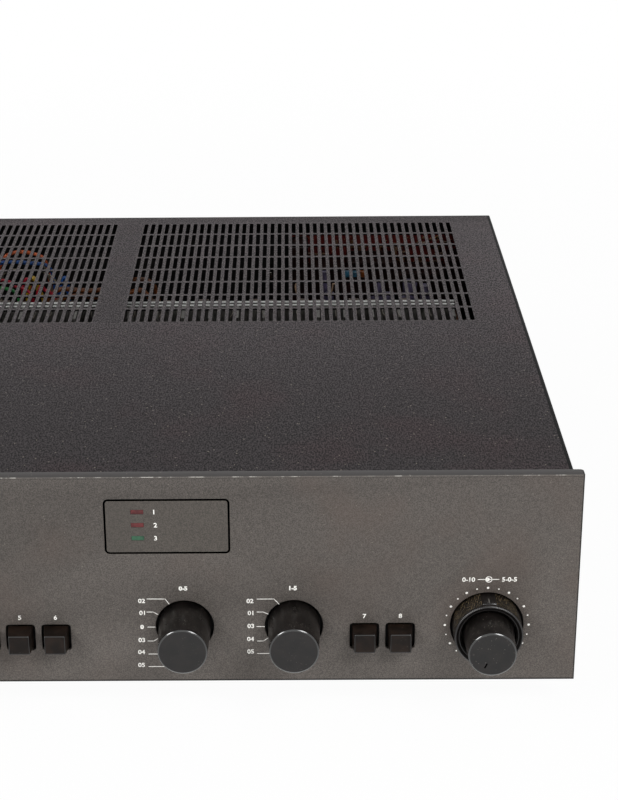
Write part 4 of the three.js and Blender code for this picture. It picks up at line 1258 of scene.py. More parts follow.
class AMPLIFIER_OT_push_buttons(bpy.types.Operator):
    """Moulds the square push buttons"""

    bl_idname = "amplifier.push_buttons"
    bl_label = "Push buttons"

    def execute(self, context):
        sizes = context.scene.amplifier_controls
        plastic = moulded("button_plastic", palette("button"), 0.4, dusty=0.35, specular=0.16)
        edge = polished_edge("button_edge", 0.6)
        cap_back = panel_low.y + 0.0012
        share = sizes.button_face / sizes.button_base
        for name in BUTTONS:
            low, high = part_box("button_" + name)
            place = across("button_" + name)
            button = add_bar("cap_" + name, place, sizes.button_base / 2, low.y, cap_back)
            with Editing(button) as edit:
                edit.faces(facing(y=-1))
                bpy.ops.transform.resize(value=(share, 1, share))
            soften(button, sizes.button_edge * 0.75, segments=4, angle=12)
            with Editing(button) as edit:
                edit.faces(facing(y=-1, least=0.9999))
                bpy.ops.mesh.inset(thickness=0.0001)
                bpy.ops.transform.translate(value=(0, 0.00012, 0))
            stem = add_bar("stem", place, STEM_HALF, cap_back - 0.0005, high.y)
            button = smooth(merge("cap_" + name, [button, stem]), 30)
            wear(button, plastic, name + "_button", ["button_" + name])
            near = low.y + 0.001
            wear_on_faces(button, edge, lambda face: on_chamfer(face) and face.calc_center_median().y < near)
        black = moulded("switch_plastic", (0.1, 0.1, 0.1), 0.5, dusty=0.2)
        finish_nodes(black, "switches_power", "switches_speakers", "switches_filters", "switches_levels")
        return {"FINISHED"}


class AMPLIFIER_OT_headphone_socket(bpy.types.Operator):
    """Makes the headphone socket's bush and body"""

    bl_idname = "amplifier.headphone_socket"
    bl_label = "Headphone socket"

    def execute(self, context):
        low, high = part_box("headphone_jack")
        place = across("headphone_jack")
        front, panel = low.y, panel_low.y
        bush = add_rod("headphone_bush", place, 0.0056, front, panel + 0.0075, 64)
        bore(bush, place, JACK_BORE, front - 0.001, panel + 0.009, 48)
        smooth(soften(bush, 0.0004, segments=3, angle=50))
        body = add_bar("body", place, (high.x - low.x) / 2, panel + 0.0071, high.y)
        bore(body, place, JACK_BORE, front - 0.001, panel + 0.0259, 48)
        socket = merge("headphone_bush", [bush, soften(body, 0.0004, angle=50)])
        plastic = moulded("socket_plastic", (0.11, 0.11, 0.11), 0.38, dusty=0.2)
        wear(socket, plastic, stands_for=["headphone_jack"])
        return {"FINISHED"}


# Printing

PRINT_THICKNESS = 0.00003
PLAIN_STROKE = 0.026
BOLD_STROKE = 0.03
TONE_CIRCLE = 0.0146
# Numbers over the controls: height above the middle of a button, the socket and a tone knob
OVER_BUTTON = 0.00955
OVER_SOCKET = 0.0105
OVER_TONE = 0.0182
SCALE_END = 0.0112, -0.0152
# The labels and the lines that lead to them, in millimetres off the panel's middle and its lower edge
LABELS = (
    ("02", 29.2, 38.8), ("01", 29.0, 33.1), ("0", 28.3, 26.4), ("03", 28.6, 20.1), ("04", 28.4, 14.3),
    ("05", 28.1, 8.0), ("02", 74.5, 38.5), ("01", 74.4, 32.8), ("03", 74.6, 26.6), ("04", 74.5, 20.35),
    ("05", 74.4, 14.3),
)
BOLD_LABEL = LABELS[2]
LEADERS = (
    ((30.05, 39.7), (37.6, 39.65), (39.2, 37.3)),
    ((29.8, 33.5), (32.4, 33.5), (34.4, 32.3)),
    ((30, 26.3), (33, 26.3)),
    ((29.8, 19.6), (32.3, 19.6), (33.9, 20.7)),
    ((30, 13.3), (36.6, 13.3), (37.2, 13.9)),
    ((29.8, 7.2), (40.5, 7.2), (41.0, 8.0)),
    ((76, 39.4), (83.1, 39.4), (85.15, 37)),
    ((75.9, 33.25), (78.4, 33.25), (80.5, 32.3)),
    ((75.8, 26.3), (79, 26.3)),
    ((76, 19.35), (78.5, 19.35), (80.4, 20.8)),
    ((75.9, 13.3), (82.4, 13.3), (83.0, 13.9)),
)
SCALE_HEADS = (("0-5", 45.2, 44.6), ("1-5", 91.05, 44.5))
# Degrees from the top at which a scale of dots starts, and how far it goes round
SCALE_START, SCALE_SWEEP = -150, 300
VOLUME_MARKS = 48.1


def add_number(text, x, z, align="RIGHT", bold=0.0):
    """A printed number on the panel's face: x is its right end, left end or middle."""
    deselect()
    bpy.ops.object.text_add(location=(0, 0, 0))
    letter = bpy.context.object
    letter.data.body = text
    letter.data.extrude = 0.01
    letter.data.offset = PLAIN_STROKE + bold
    letter.data.resolution_u = 4
    bpy.ops.object.convert(target="MESH")
    piece = named("number")
    points = [point.co for point in piece.data.vertices]
    low = [min(point[axis] for point in points) for axis in range(3)]
    high = [max(point[axis] for point in points) for axis in range(3)]
    size = bpy.context.scene.amplifier_panel.letter / (high[1] - low[1])
    anchor = {"RIGHT": high[0], "LEFT": low[0], "CENTER": (low[0] + high[0]) / 2}[align]
    thick = PRINT_THICKNESS / (high[2] - low[2])
    rest = Matrix.Translation((-anchor, -(low[1] + high[1]) / 2, 0))
    scale = Matrix.Diagonal((size * 1.06, size, thick, 1))
    stand = Matrix.Rotation(math.pi / 2, 4, "X")
    place = Matrix.Translation((x, panel_low.y, z))
    piece.data.transform(place @ stand @ scale @ rest)
    return piece


def add_line(points, width):
    """A printed line through points of the panel's face."""
    pieces = []
    for (x0, z0), (x1, z1) in zip(points, points[1:]):
        run = math.hypot(x1 - x0, z1 - z0)
        middle = Vector(((x0 + x1) / 2, panel_low.y, (z0 + z1) / 2))
        half = Vector(((run + width * 0.9) / 2, PRINT_THICKNESS / 2, width / 2))
        strip = add_block("line", middle - half, middle + half)
        pieces.append(turned(strip, -math.atan2(z1 - z0, x1 - x0), middle))
    return pieces


def on_panel(x, z):
    """A point of the panel in metres from millimetres off its middle and its lower edge."""
    return x / 1000, panel_low.z + z / 1000


class AMPLIFIER_OT_printing(bpy.types.Operator):
    """Prints the numbers, lines and dots of the panel"""

    bl_idname = "amplifier.printing"
    bl_label = "Printed numbers"

    def execute(self, context):
        sizes = context.scene.amplifier_panel
        ink = printing_ink()
        prints = (self.scales(sizes), self.dots(sizes), self.volume_marks(sizes), self.control_numbers(),
                  self.window_numbers())
        for printed in prints:
            wear(printed, ink)
        return {"FINISHED"}

    def scales(self, sizes):
        """The two selectors' numbers and leader lines."""
        pieces = []
        for label in LABELS:
            text, x, z = label
            bold = BOLD_STROKE if label == BOLD_LABEL else 0.0
            pieces.append(add_number(text, *on_panel(x, z), "RIGHT", bold))
        for leader in LEADERS:
            pieces += add_line([on_panel(*point) for point in leader], sizes.line)
        for text, x, z in SCALE_HEADS:
            pieces.append(add_number(text, *on_panel(x, z), "CENTER", BOLD_STROKE))
        return merge("selector_numbers", pieces)

    def dots(self, sizes):
        """Dots every 15 degrees, every other one larger; the tone knobs have their own."""
        circles = [(across("ring_balance"), sizes.dot_circle, 21, 2)]
        circles += [(across("knob_" + name), TONE_CIRCLE, 11, 5) for name in TONE_KNOBS]
        front = panel_low.y - PRINT_THICKNESS / 2
        pieces = []
        for (x, z), circle, count, large in circles:
            for index in range(count):
                angle = math.radians(SCALE_START + SCALE_SWEEP / (count - 1) * index)
                place = (x + circle * math.sin(angle), z + circle * math.cos(angle))
                radius = sizes.small_dot if index % large else sizes.big_dot
                pieces.append(add_rod("dot", place, radius, front, front + PRINT_THICKNESS, 20))
        return merge("scale_dots", pieces)

    def volume_marks(self, sizes):
        """The ranges of the volume knob and the ring, joined by a line with a dot and a ring on it."""
        at = lambda x: on_panel(x, VOLUME_MARKS)
        front = panel_low.y - PRINT_THICKNESS / 2
        back = front + PRINT_THICKNESS
        pieces = [add_number("0-10", *at(166.7)), add_number("5-0-5", *at(177.9), "LEFT")]
        pieces += add_line([at(167.9), at(176.6)], sizes.line)
        pieces.append(add_rod("dot", at(171.9), 0.00085, front - PRINT_THICKNESS / 2, back, 24))
        ring = add_rod("ring", at(172.4), 0.00145, front, back, 40)
        pieces.append(bore(ring, at(172.4), 0.00112, front - 0.001, front + 0.001, 40))
        return merge("volume_marks", pieces)

    def control_numbers(self):
        """A number over each button, the socket and the tone knobs, and at the ends of their scales."""
        marks = [("button_" + name, str(number), 0, OVER_BUTTON, 0) for number, name in enumerate(BUTTONS, 1)]
        marks.append(("headphone_jack", "0", 0, OVER_SOCKET, 0))
        for name in TONE_KNOBS:
            marks.append(("knob_" + name, "0", 0, OVER_TONE, BOLD_STROKE))
            marks += [("knob_" + name, "5", side * SCALE_END[0], SCALE_END[1], 0) for side in (-1, 1)]
        pieces = []
        for node, text, right, up, bold in marks:
            x, z = across(node)
            pieces.append(add_number(text, x + right, z + up, "CENTER", bold))
        return merge("button_numbers", pieces)

    def window_numbers(self):
        """A number beside each lamp, on the window's face."""
        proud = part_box("status_window")[0].y - PRINT_THICKNESS / 2 - panel_low.y
        pieces = []
        for number, node in enumerate(LAMPS, 1):
            x, z = across(node)
            pieces.append(add_number(str(number), x + 0.0067, z, "LEFT"))
            pieces[-1].data.transform(Matrix.Translation((0, proud, 0)))
        return merge("window_numbers", pieces)


# Inside

SIGNAL_BOARD = 55.6
FILTER_TOP = 76.0
CAN_COLOURS = {"violet": (0.29, 0.265, 0.35), "cyan": (0.18, 0.36, 0.45), "orange": (0.44, 0.23, 0.08)}
# Colour, x, y, top and radius in millimetres
SMALL_CANS = (
    ("violet", 110.1, 300, 79.1, 2.6),
    ("violet", 139.8, 285, 78.3, 3.0),
    ("violet", 156.6, 285, 78.2, 4.0),
    ("violet", 164.8, 280, 77.7, 3.0),
    ("violet", 144.4, 272, 76.0, 3.0),
    ("violet", 152.6, 270, 76.0, 3.0),
    ("violet", 135.5, 268, 76.9, 2.5),
    ("violet", 112.0, 272, 76.5, 2.5),
    ("cyan", 122.3, 300, 79.6, 2.2),
    ("cyan", 126.9, 300, 78.7, 2.0),
    ("orange", 131.6, 300, 79.0, 2.2),
)
RELAY_ROW = 314
# Left, right, front, back and top in millimetres; the last one stands on the raised board
HOUSINGS = (
    (91, 101, RELAY_ROW, 334, 88),
    (102.5, 121, RELAY_ROW, 334, 76),
    (123, 150, RELAY_ROW, 334, 79),
    (152, 179, RELAY_ROW, 334, 72),
    (180.5, 190, RELAY_ROW, 334, 80),
    (119.2, 134.6, 296.5, 303.5, FILTER_TOP),
)
LUGS, LUG_PITCH = 39, 0.0088
SENSOR_LEADS, LEAD_PITCH = 30, 11.4
SMALL_JOINTS, SMALL_PARTS = 46, 34
LARGE_JOINTS = ((167.6, 84.7), (171.6, 84), (175.8, 85.2), (166, 72.8), (150.2, 71))
# Colour, radius in millimetres, and routes as places for inside()
WIRES = {
    "orange": ((0.86, 0.4, 0.2), 1.1, (
        ((-79, 322, 16), (-76, 322, 70), (-71.8, 322, 80.5), (-67.3, 322, 83.2), (-62.1, 322, 84),
         (-55.3, 322, 83), (-49.8, 322, 80.3), (-47.6, 322, 74), (-46, 322, 50), (-46, 322, 16)),
    )),
    "grey": ((0.52, 0.49, 0.43), 0.6, (
        ((-75, 319, 16), (-73, 319, 70), (-70, 319, 77.8), (-62, 319, 80.6), (-54, 319, 79.6),
         (-48, 319, 74), (-47, 319, 16)),
        ((-76, 308, 16), (-74, 308, 70), (-68, 308, 77.4), (-58, 308, 77.8), (-48, 308, 76.8),
         (-41, 308, 70), (-40, 308, 16)),
    )),
    "blue": ((0.12, 0.34, 0.64), 1.1, (
        ((-86, 312, 16), (-80, 312, 74), (-72.8, 312, 80.6), (-64.9, 312, 81.5), (-56.6, 312, 80.8),
         (-50.3, 312, 80.2), (-46.4, 312, 79.2), (-43, 312, 70), (-42, 312, 16)),
        ((-37, 284, 16), (-36, 284, 76), (-34.2, 284, 81), (-33, 284, 81.8), (-32, 284, 78), (-31, 284, 16)),
    )),
    "yellow": ((0.82, 0.66, 0.18), 1.3, (
        ((-53.5, 277, 16), (-53, 277, 60), (-51.6, 277, 82), (-49.4, 275, 85), (-46.7, 275, 77.9),
         (-44.4, 275, 73), (-43, 275, 50), (-43, 275, 16)),
    )),
    "red": ((0.74, 0.1, 0.2), 0.9, (
        ((-77, 270, 16), (-72, 270, 79), (-66.7, 270, 85.1), (-61.5, 270, 84.5), (-58.2, 270, 81.6),
         (-54.7, 270, 80.7), (-51.3, 270, 78.6), (-48.7, 270, 72), (-48, 270, 16)),
        ((-57, 282, 16), (-56.3, 282, 75.5), (-54.9, 282, 80.1), (-53.7, 282, 81.9), (-52.7, 282, 79.5),
         (-51.9, 282, 75.4), (-51, 282, 16)),
        ((-46, 266, 16), (-44, 266, 83.5), (-42, 266, 81.2), (-38.5, 266, 79.1), (-36.3, 266, 72),
         (-36, 266, 16)),
    )),
    "green": ((0.18, 0.56, 0.28), 1.0, (
        ((-80, 268, 16), (-75, 268, 77), (-69.8, 268, 82.4), (-66.6, 268, 81.8), (-62.5, 268, 81.2),
         (-59.1, 268, 79.7), (-56, 268, 72), (-55, 268, 16)),
    )),
    "brown": ((0.46, 0.25, 0.1), 1.4, (
        ((-44, 268, 16), (-41.5, 268, 74), (-34.1, 268, 80.7), (-26, 268, 80.3), (-13, 268, 80.2),
         (-1.4, 268, 83.6), (6.8, 268, 86), (14.9, 268, 84.6), (18.5, 268, 76), (19, 268, 16)),
        ((-42, 264, 16), (-38, 264, 73), (-28, 264, 78), (-12, 264, 77.5), (2, 264, 79.6), (12, 264, 80.5),
         (16, 264, 16)),
    )),
    "tan": ((0.7, 0.58, 0.48), 0.45, (
        ((112, 262, 56), (112.6, 262, 78.1), (113.4, 262, 82.7), (114.2, 262, 85.3), (115.3, 262, 82.1),
         (115.9, 262, 56)),
        ((95, 262, 56), (94.5, 262, 77.7), (93.6, 262, 82.3), (94.2, 262, 85.1), (95.2, 262, 81.7),
         (96, 262, 56)),
    )),
}


def inside(x, y, z):
    """A place in metres from millimetres off the panel's middle, its face and its lower edge."""
    return Vector((x / 1000, panel_low.y + y / 1000, panel_low.z + z / 1000))


def lead(route, radius):
    """A round lead along a smooth curve through places for inside()."""
    deselect()
    bpy.ops.curve.primitive_bezier_curve_add()
    piece = bpy.context.object
    piece.data.dimensions = "3D"
    spline = piece.data.splines[0]
    spline.bezier_points.add(len(route) - 2)
    for point, place in zip(spline.bezier_points, route):
        point.co = inside(*place)
        point.handle_left_type = "AUTO"
        point.handle_right_type = "AUTO"
    piece.data.bevel_depth = radius
    piece.data.bevel_resolution = 2
    piece.data.resolution_u = 6
    piece.data.use_fill_caps = True
    bpy.ops.object.convert(target="MESH")
    return settle(named("lead"))


def small_part(name, place, radius, half, axis):
    """A short round part that lies along an axis, or stands where the axis is empty."""
    part = add_post(name, (0, 0), radius, -half, half, 12)
    if axis:
        turned(part, math.pi / 2, (0, 0, 0), axis)
    part.data.transform(Matrix.Translation(place))
    return part


class AMPLIFIER_OT_output_stage(bpy.types.Operator):
    """Finishes the heat sink and its transistors"""

    bl_idname = "amplifier.output_stage"
    bl_label = "Output stage"

    def execute(self, context):
        finish_nodes(sink_aluminium(), "heat_sink")
        black = moulded("transistor_plastic", (0.09, 0.09, 0.09), 0.35, dusty=0.1)
        finish_nodes(black, *["output_transistor_%d" % number for number in (1, 2, 3, 4)])
        self.lugs()
        self.sensor_leads()
        return {"FINISHED"}

    def lugs(self):
        """Short lugs along the back of the heat sink's bar."""
        low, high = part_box("heat_sink")
        pieces = []
        for index in range(LUGS):
            x = low.x + 0.008 + index * LUG_PITCH
            lug_high = (x + 0.0052, high.y + 0.005, high.z - 0.0006 - index % 3 * 0.0006)
            lug = add_block("lug", (x, high.y + 0.0002, high.z - 0.0075), lug_high)
            pieces.append(recess_face(lug, facing(z=1), 0.0006, 0.0004))
        lugs = assembled("sink_lugs", pieces, 0.0003, 35)
        wear(lugs, wire_cover("lug_body", (0.42, 0.37, 0.34)))

    def sensor_leads(self):
        """Thin stiff leads that lie curved over the tops of the fins."""
        chance = random.Random(5)
        z = (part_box("heat_sink")[1].z - panel_low.z) * 1000 + 0.2
        leads = []
        for index in range(SENSOR_LEADS):
            x, bow = -170 + index * LEAD_PITCH + chance.uniform(-3, 3), chance.uniform(-1.6, 1.6)
            route = ((x, 216, z), (x + bow, 219.5, z + 0.3), (x + bow, 224, z + 0.3), (x, 228.5, z))
            leads.append(lead(route, chance.uniform(0.00015, 0.00026)))
        leads = smooth(merge("sensor_leads", leads), 60)
        wear(leads, wire_cover("lead_enamel", (0.5, 0.46, 0.41)))


class AMPLIFIER_OT_boards(bpy.types.Operator):
    """Finishes the boards and stands components on them"""

    bl_idname = "amplifier.boards"
    bl_label = "Circuit boards"

    def execute(self, context):
        brown = board_laminate("board_brown", (0.3, 0.18, 0.11), (0.42, 0.27, 0.16))
        finish_nodes(brown, "amplifier_board", "supply_board", "preamp_board", "lamp_board")
        finish_nodes(board_laminate("board_red", (0.27, 0.026, 0.018), (0.33, 0.08, 0.04)), "input_board")
        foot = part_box("amplifier_board")[1].z
        self.signal_board(brown, foot)
        self.cans()
        self.relays(foot)
        chance = random.Random(11)
        self.resistors(chance)
        self.input_joints(chance)
        self.input_parts(chance)
        return {"FINISHED"}

    def signal_board(self, laminate, foot):
        """A raised board on four spacers behind the right half of the heat sink."""
        low, high = inside(92, 256, SIGNAL_BOARD - 1.6), inside(186, 306, SIGNAL_BOARD)
        board = soften(add_block("signal_board", low, high), 0.0003)
        inset = 0.005
        corners = [(x, y) for x in (low.x + inset, high.x - inset) for y in (low.y + inset, high.y - inset)]
        posts = [add_post("post", corner, 0.0028, foot, high.z + 0.0016, 6) for corner in corners]
        posts = assembled("signal_posts", posts, 0.0003, 35)
        wear(board, laminate)
        wear(posts, plain_metal("post_steel_inner", (0.6, 0.6, 0.6), 0.35))

    def cans(self):
        """Small electrolytic cans on the raised board."""
        for name, base in CAN_COLOURS.items():
            foot = SIGNAL_BOARD if name == "violet" else FILTER_TOP
            pieces = []
            for kind, x, y, top, radius in SMALL_CANS:
                if kind == name:
                    low, high = inside(x, y, foot), inside(x, y, top)
                    can = add_post("can", low.xy, radius / 1000, low.z, high.z, 28)
                    pieces.append(recess_face(can, facing(z=1), radius / 5000, 0.0005))
            cans = assembled(name + "_cans", pieces, 0.0004)
            wear(cans, capacitor_sleeve(name + "_sleeve", base))

    def relays(self, foot):
        """Dark relay housings that stand before the input board, each with a lid seam."""
        pieces = []
        for left, right, front, back, top in HOUSINGS:
            low, high = inside(left, front, SIGNAL_BOARD), inside(right, back, top)
            if front == RELAY_ROW:
                low.z = foot
            block = recess_face(add_block("relay", low, high), facing(z=1), 0.0012, 0.0005)
            with Editing(block) as edit:
                edit.faces(facing(y=-1))
                bpy.ops.mesh.inset(thickness=0.0014)
                bpy.ops.mesh.inset(thickness=0.0004, depth=-0.0005)
            pieces.append(block)
        plastic = moulded("relay_plastic", (0.085, 0.032, 0.026), 0.5, dusty=0.15, specular=0.1)
        wear(assembled("relay_housings", pieces, 0.0003), plastic)

    def resistors(self, chance):
        """Small parts lying on the boards."""
        parts = []
        for node, count in (("amplifier_board", 26), ("preamp_board", 34)):
            low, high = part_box(node)
            for index in range(count):
                x = low.x + 0.012 + chance.random() * (high.x - low.x - 0.024)
                y = low.y + 0.01 + chance.random() * (high.y - low.y - 0.02)
                place = (x, y, high.z + 0.0022)
                parts.append(small_part("resistor", place, 0.0012, 0.0032, "XY"[index % 2]))
        parts = assembled("resistors", parts, 0.0003)
        wear(parts, wire_cover("resistor_body", (0.62, 0.5, 0.34)))

    def input_joints(self, chance):
        """Bright joints on the front of the input board."""
        spots = []
        for index in range(SMALL_JOINTS):
            x, z = chance.uniform(98, 184), chance.uniform(70, 85.5)
            spots.append((x, z, chance.uniform(0.0003, 0.0006)))
        spots += [(x, z, 0.0009) for x, z in LARGE_JOINTS]
        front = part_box("input_board")[0].y
        joints = []
        for x, z, radius in spots:
            place = on_panel(x, z)
            joints.append(add_rod("joint", place, radius * 0.4, front - radius * 1.5, front, 8, radius))
        joints = smooth(merge("board_joints", joints), 60)
        wear(joints, plain_metal("solder", (0.78, 0.68, 0.5), 0.3))

    def input_parts(self, chance):
        """Small parts on the front of the input board."""
        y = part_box("input_board")[0].y - 0.0016
        parts = []
        for index in range(SMALL_PARTS):
            x, z = on_panel(chance.uniform(100, 182), chance.uniform(70, 83))
            parts.append(small_part("part", (x, y, z), 0.0007, 0.0026, "Y" if index % 3 else ""))
        parts = assembled("input_parts", parts, 0.0003)
        wear(parts, wire_cover("part_body", (0.34, 0.23, 0.14)))


class AMPLIFIER_OT_power_supply(bpy.types.Operator):
    """Finishes the transformer and makes the filter capacitors"""

    bl_idname = "amplifier.power_supply"
    bl_label = "Power supply"

    def execute(self, context):
        finish_nodes(laminated_steel(), "transformer_core")
        finish_nodes(winding_tape(), "transformer_coil")
        sleeve = capacitor_sleeve("capacitor_sleeve", (0.13, 0.16, 0.4))
        for node in ("filter_capacitor_front", "filter_capacitor_back"):
            low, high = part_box(node)
            can = add_post("can_" + node, centre_of(node).xy, (high.x - low.x) / 2, low.z, high.z, 48)
            recess_face(can, facing(z=1), 0.0012, 0.0012)
            smooth(soften(can, 0.0006, segments=3, angle=50))
            wear(can, sleeve, stands_for=[node])
        return {"FINISHED"}


class AMPLIFIER_OT_wiring(bpy.types.Operator):
    """Loops the coloured leads between the boards behind the heat sink"""

    bl_idname = "amplifier.wiring"
    bl_label = "Wiring"

    def execute(self, context):
        for name, (base, radius, routes) in WIRES.items():
            leads = merge("lead_" + name, [lead(route, radius / 1000) for route in routes])
            wear(smooth(leads, 60), wire_cover("cover_" + name, base))
        return {"FINISHED"}


# Back

PLATE = 0.0018
SOCKET_PITCH = 0.014
TERMINAL_PITCH = 0.019
REAR_SCREWS = (-0.19, -0.06, 0.06, 0.19)
SIDE_SCREWS = (-0.12, 0.13)


def fluted(name, radius, front, back, flutes):
    """A round grip with flutes along its side and a collar at its foot."""
    grip = add_rod(name, (0, 0), radius, front + 0.0016, back, flutes * 2)
    recess_face(grip, facing(y=1), radius * 0.28, 0.0022)
    with Editing(grip) as edit:
        edit.points(
            lambda point: off_axis(point, (0, 0)) > radius * 0.95
            and round(math.atan2(point.co.x, point.co.z) * flutes / math.pi - 0.5) % 2 == 1
        )
        bpy.ops.transform.resize(value=(0.9, 1, 0.9), center_override=(0, 0, 0))
    collar = add_rod("collar", (0, 0), radius * 0.98, front - 0.0003, front + 0.0018, 40)
    return merge(name, [grip, collar])


class AMPLIFIER_OT_rear_connectors(bpy.types.Operator):
    """Makes the line sockets, speaker terminals, mains bush and earth post"""

    bl_idname = "amplifier.rear_connectors"
    bl_label = "Rear connectors"

    def execute(self, context):
        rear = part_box("rear_panel")[1].y
        black = moulded("connector_plastic", (0.07, 0.068, 0.066), 0.42, dusty=0.2)
        red = moulded("red_plastic", (0.5, 0.06, 0.05), 0.36, dusty=0.2)
        white = moulded("white_plastic", (0.78, 0.76, 0.7), 0.4, dusty=0.1)
        nickel = plain_metal("nickel", (0.74, 0.72, 0.69), 0.25)
        self.sockets(rear, black, nickel, (red, white))
        self.terminals(rear, black, nickel, (black, red))
        self.gland(rear, black)
        self.earth_post(rear, nickel)
        return {"FINISHED"}

    def plate(self, name, node, rear, finish):
        low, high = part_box(node)
        plate = add_block(name, (low.x, rear, low.z), (high.x, rear + PLATE, high.z))
        recess_face(round_upright(plate, 0.0016), facing(y=1), 0.0009, 0.0003)
        smooth(soften(plate, 0.0002, angle=50))
        wear(plate, finish, stands_for=[node])

    def spread(self, piece, node, columns, pitch, finishes, slot):
        """Copies a piece over two rows on a node, each row merged and given its finish."""
        middle = centre_of(node)
        for row, z in enumerate((middle.z - pitch / 2, middle.z + pitch / 2)):
            xs = [middle.x + (column - (columns - 1) / 2) * pitch for column in range(columns)]
            copies = [copy_of(piece, "copy", (x, 0, z)) for x in xs]
            made = merge("%s_%d" % (piece.name, row + 1), copies)
            wear(smooth(made), finishes[row % len(finishes)])
        bpy.data.objects.remove(piece)

    def sockets(self, rear, black, nickel, colours):
        """Fourteen phono sockets: metal shells with a nut, and an insert in each."""
        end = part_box("line_sockets")[1].y
        self.plate("socket_plate", "line_sockets", rear, black)
        shell = add_rod("socket_shells", (0, 0), 0.0042, rear + PLATE, end, SMALL_ROUND)
        bore(shell, (0, 0), 0.0033, rear + 0.003, end + 0.001, SMALL_ROUND)
        nut = add_rod("nut", (0, 0), 0.0056, rear + PLATE - 0.0003, rear + 0.0031, 6)
        shell = soften(merge("socket_shells", [shell, nut]), 0.00025, angle=50)
        self.spread(shell, "line_sockets", 7, SOCKET_PITCH, (nickel,), "steel")
        insert = add_rod("socket_inserts", (0, 0), 0.0032, rear + 0.0025, end - 0.0009, SMALL_ROUND)
        bore(insert, (0, 0), 0.0016, end - 0.006, end, 20)
        soften(insert, 0.0002, angle=50)
        self.spread(insert, "line_sockets", 7, SOCKET_PITCH, colours, "black_plastic")

    def terminals(self, rear, black, nickel, colours):
        """Screw caps with fluted sides on a raised plate."""
        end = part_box("speaker_terminals")[1].y
        self.plate("terminal_plate", "speaker_terminals", rear, black)
        cap = soften(fluted("terminal_caps", 0.005, rear + PLATE, end, 24), 0.0002, angle=50)
        self.spread(cap, "speaker_terminals", 4, TERMINAL_PITCH, colours, "black_plastic")
        stud = add_rod("terminal_studs", (0, 0), 0.0019, end - 0.004, end - 0.0008, 24)
        recess_face(stud, facing(y=1), 0.0007, 0.0006)
        self.spread(stud, "speaker_terminals", 4, TERMINAL_PITCH, (nickel,), "steel")

    def gland(self, rear, black):
        """The mains lead's bush: a flange, a ribbed neck and an open bore."""
        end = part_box("mains_gland")[1].y
        place = across("mains_gland")
        pieces = [
            add_rod("mains_bush", place, 0.009, rear, rear + 0.0025, 48),
            add_rod("neck", place, 0.0066, rear + 0.002, end, 48, 0.0052),
        ]
        for front in (rear + 0.0036, rear + 0.0054):
            pieces.append(add_rod("rib", place, 0.0068, front, front + 0.0008, 48))
        pieces = [bore(piece, place, 0.0036, rear - 0.001, end + 0.001, 32) for piece in pieces]
        bush = assembled("mains_bush", pieces, 0.0003)
        wear(bush, black, stands_for=["mains_gland"])

    def earth_post(self, rear, nickel):
        """A fluted thumb nut on a stud with a washer."""
        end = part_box("ground_post")[1].y
        x, z = across("ground_post")
        nut = fluted("earth_nut", 0.0053, rear + 0.0012, rear + 0.0072, 20)
        nut.data.transform(Matrix.Translation((x, 0, z)))
        stud = add_rod("stud", (x, z), 0.002, rear - 0.001, end, SMALL_ROUND)
        washer = add_rod("washer", (x, z), 0.0054, rear, rear + 0.0009, 40)
        post = assembled("earth_nut", [nut, stud, washer], 0.0002)
        wear(post, nickel, stands_for=["ground_post"])


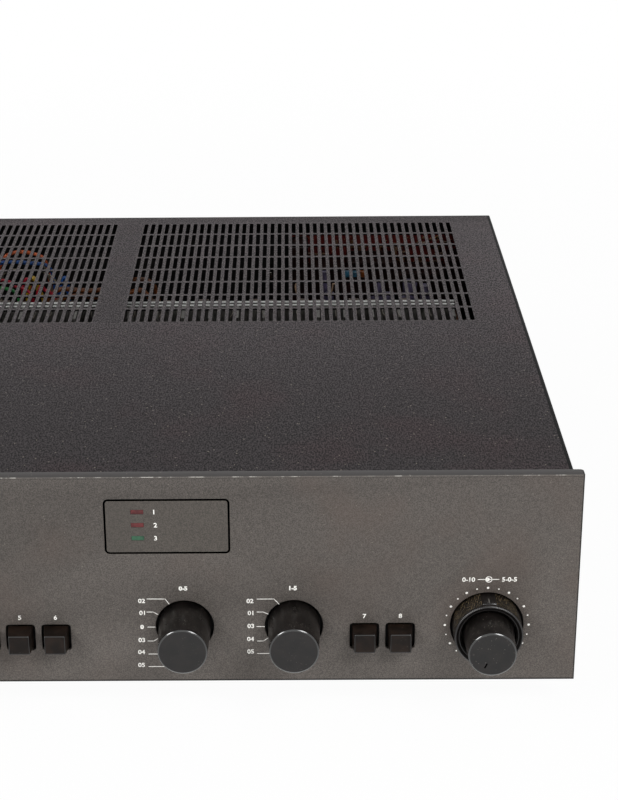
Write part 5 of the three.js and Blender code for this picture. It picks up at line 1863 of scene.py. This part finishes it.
class AMPLIFIER_OT_screws(bpy.types.Operator):
    """Drives the cover's and rear panel's screws"""

    bl_idname = "amplifier.screws"
    bl_label = "Screws"

    def execute(self, context):
        steel = plain_metal("screw_steel", (0.12, 0.12, 0.125), 0.35)
        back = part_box("rear_panel")[1].y
        pieces = []
        for x in REAR_SCREWS:
            head = self.head((x, 0.0235), 0.003, 0.0016)
            head.data.transform(Matrix.Translation((0, back, 0)))
            pieces.append(head)
        for side in (-1, 1):
            for y in SIDE_SCREWS:
                head = self.head((0, 0), 0.0036, 0.0018)
                spin = Matrix.Rotation(side * -math.pi / 2, 4, "Z")
                place = Matrix.Translation((side * cover_high.x, y, 0.05))
                head.data.transform(place @ spin)
                pieces.append(head)
        wear(smooth(merge("screws", pieces), 40), steel)
        return {"FINISHED"}

    def head(self, place, radius, rise):
        """A domed head with a cross recess, facing +Y from Y 0."""
        head = add_rod("screw", place, radius, 0, rise, SMALL_ROUND, radius * 0.72)
        round_edges(head, all_near(1, rise), radius * 0.18, 3)
        x, z = place
        for long, short in ((0.55, 0.12), (0.12, 0.55)):
            low = (x - radius * long, rise * 0.5, z - radius * short)
            high = (x + radius * long, rise * 2, z + radius * short)
            cut_away(head, add_block("cross", low, high))
        return head


class AMPLIFIER_PT_steps(bpy.types.Panel):
    bl_idname = "AMPLIFIER_PT_steps"
    bl_label = "Stereo Amplifier"
    bl_space_type = "VIEW_3D"
    bl_region_type = "UI"
    bl_category = "Amplifier"

    def draw(self, context):
        for step in STEPS:
            self.layout.operator(step.bl_idname)
        for name in GROUPS:
            box = self.layout.box()
            values = getattr(context.scene, name)
            for key in values.__annotations__:
                box.prop(values, key)


STEPS = (
    AMPLIFIER_OT_camera,
    AMPLIFIER_OT_stage,
    AMPLIFIER_OT_cover,
    AMPLIFIER_OT_front_panel,
    AMPLIFIER_OT_status_window,
    AMPLIFIER_OT_chassis,
    AMPLIFIER_OT_small_knobs,
    AMPLIFIER_OT_volume_control,
    AMPLIFIER_OT_push_buttons,
    AMPLIFIER_OT_headphone_socket,
    AMPLIFIER_OT_printing,
    AMPLIFIER_OT_output_stage,
    AMPLIFIER_OT_boards,
    AMPLIFIER_OT_power_supply,
    AMPLIFIER_OT_wiring,
    AMPLIFIER_OT_rear_connectors,
    AMPLIFIER_OT_screws,
)
GROUPS = {
    "amplifier_cover": CoverSizes,
    "amplifier_panel": PanelSizes,
    "amplifier_controls": ControlSizes,
    "amplifier_colours": AmplifierColours,
}


def register():
    for made in (*GROUPS.values(), *STEPS, AMPLIFIER_PT_steps):
        bpy.utils.register_class(made)
    for name, group in GROUPS.items():
        setattr(bpy.types.Scene, name, PointerProperty(type=group))


def unregister():
    for name in GROUPS:
        delattr(bpy.types.Scene, name)
    for made in (AMPLIFIER_PT_steps, *reversed(STEPS), *GROUPS.values()):
        bpy.utils.unregister_class(made)


def main():
    register()
    for step in STEPS:
        area, name = step.bl_idname.split(".")
        getattr(getattr(bpy.ops, area), name)()


if __name__ == "__main__":
    main()
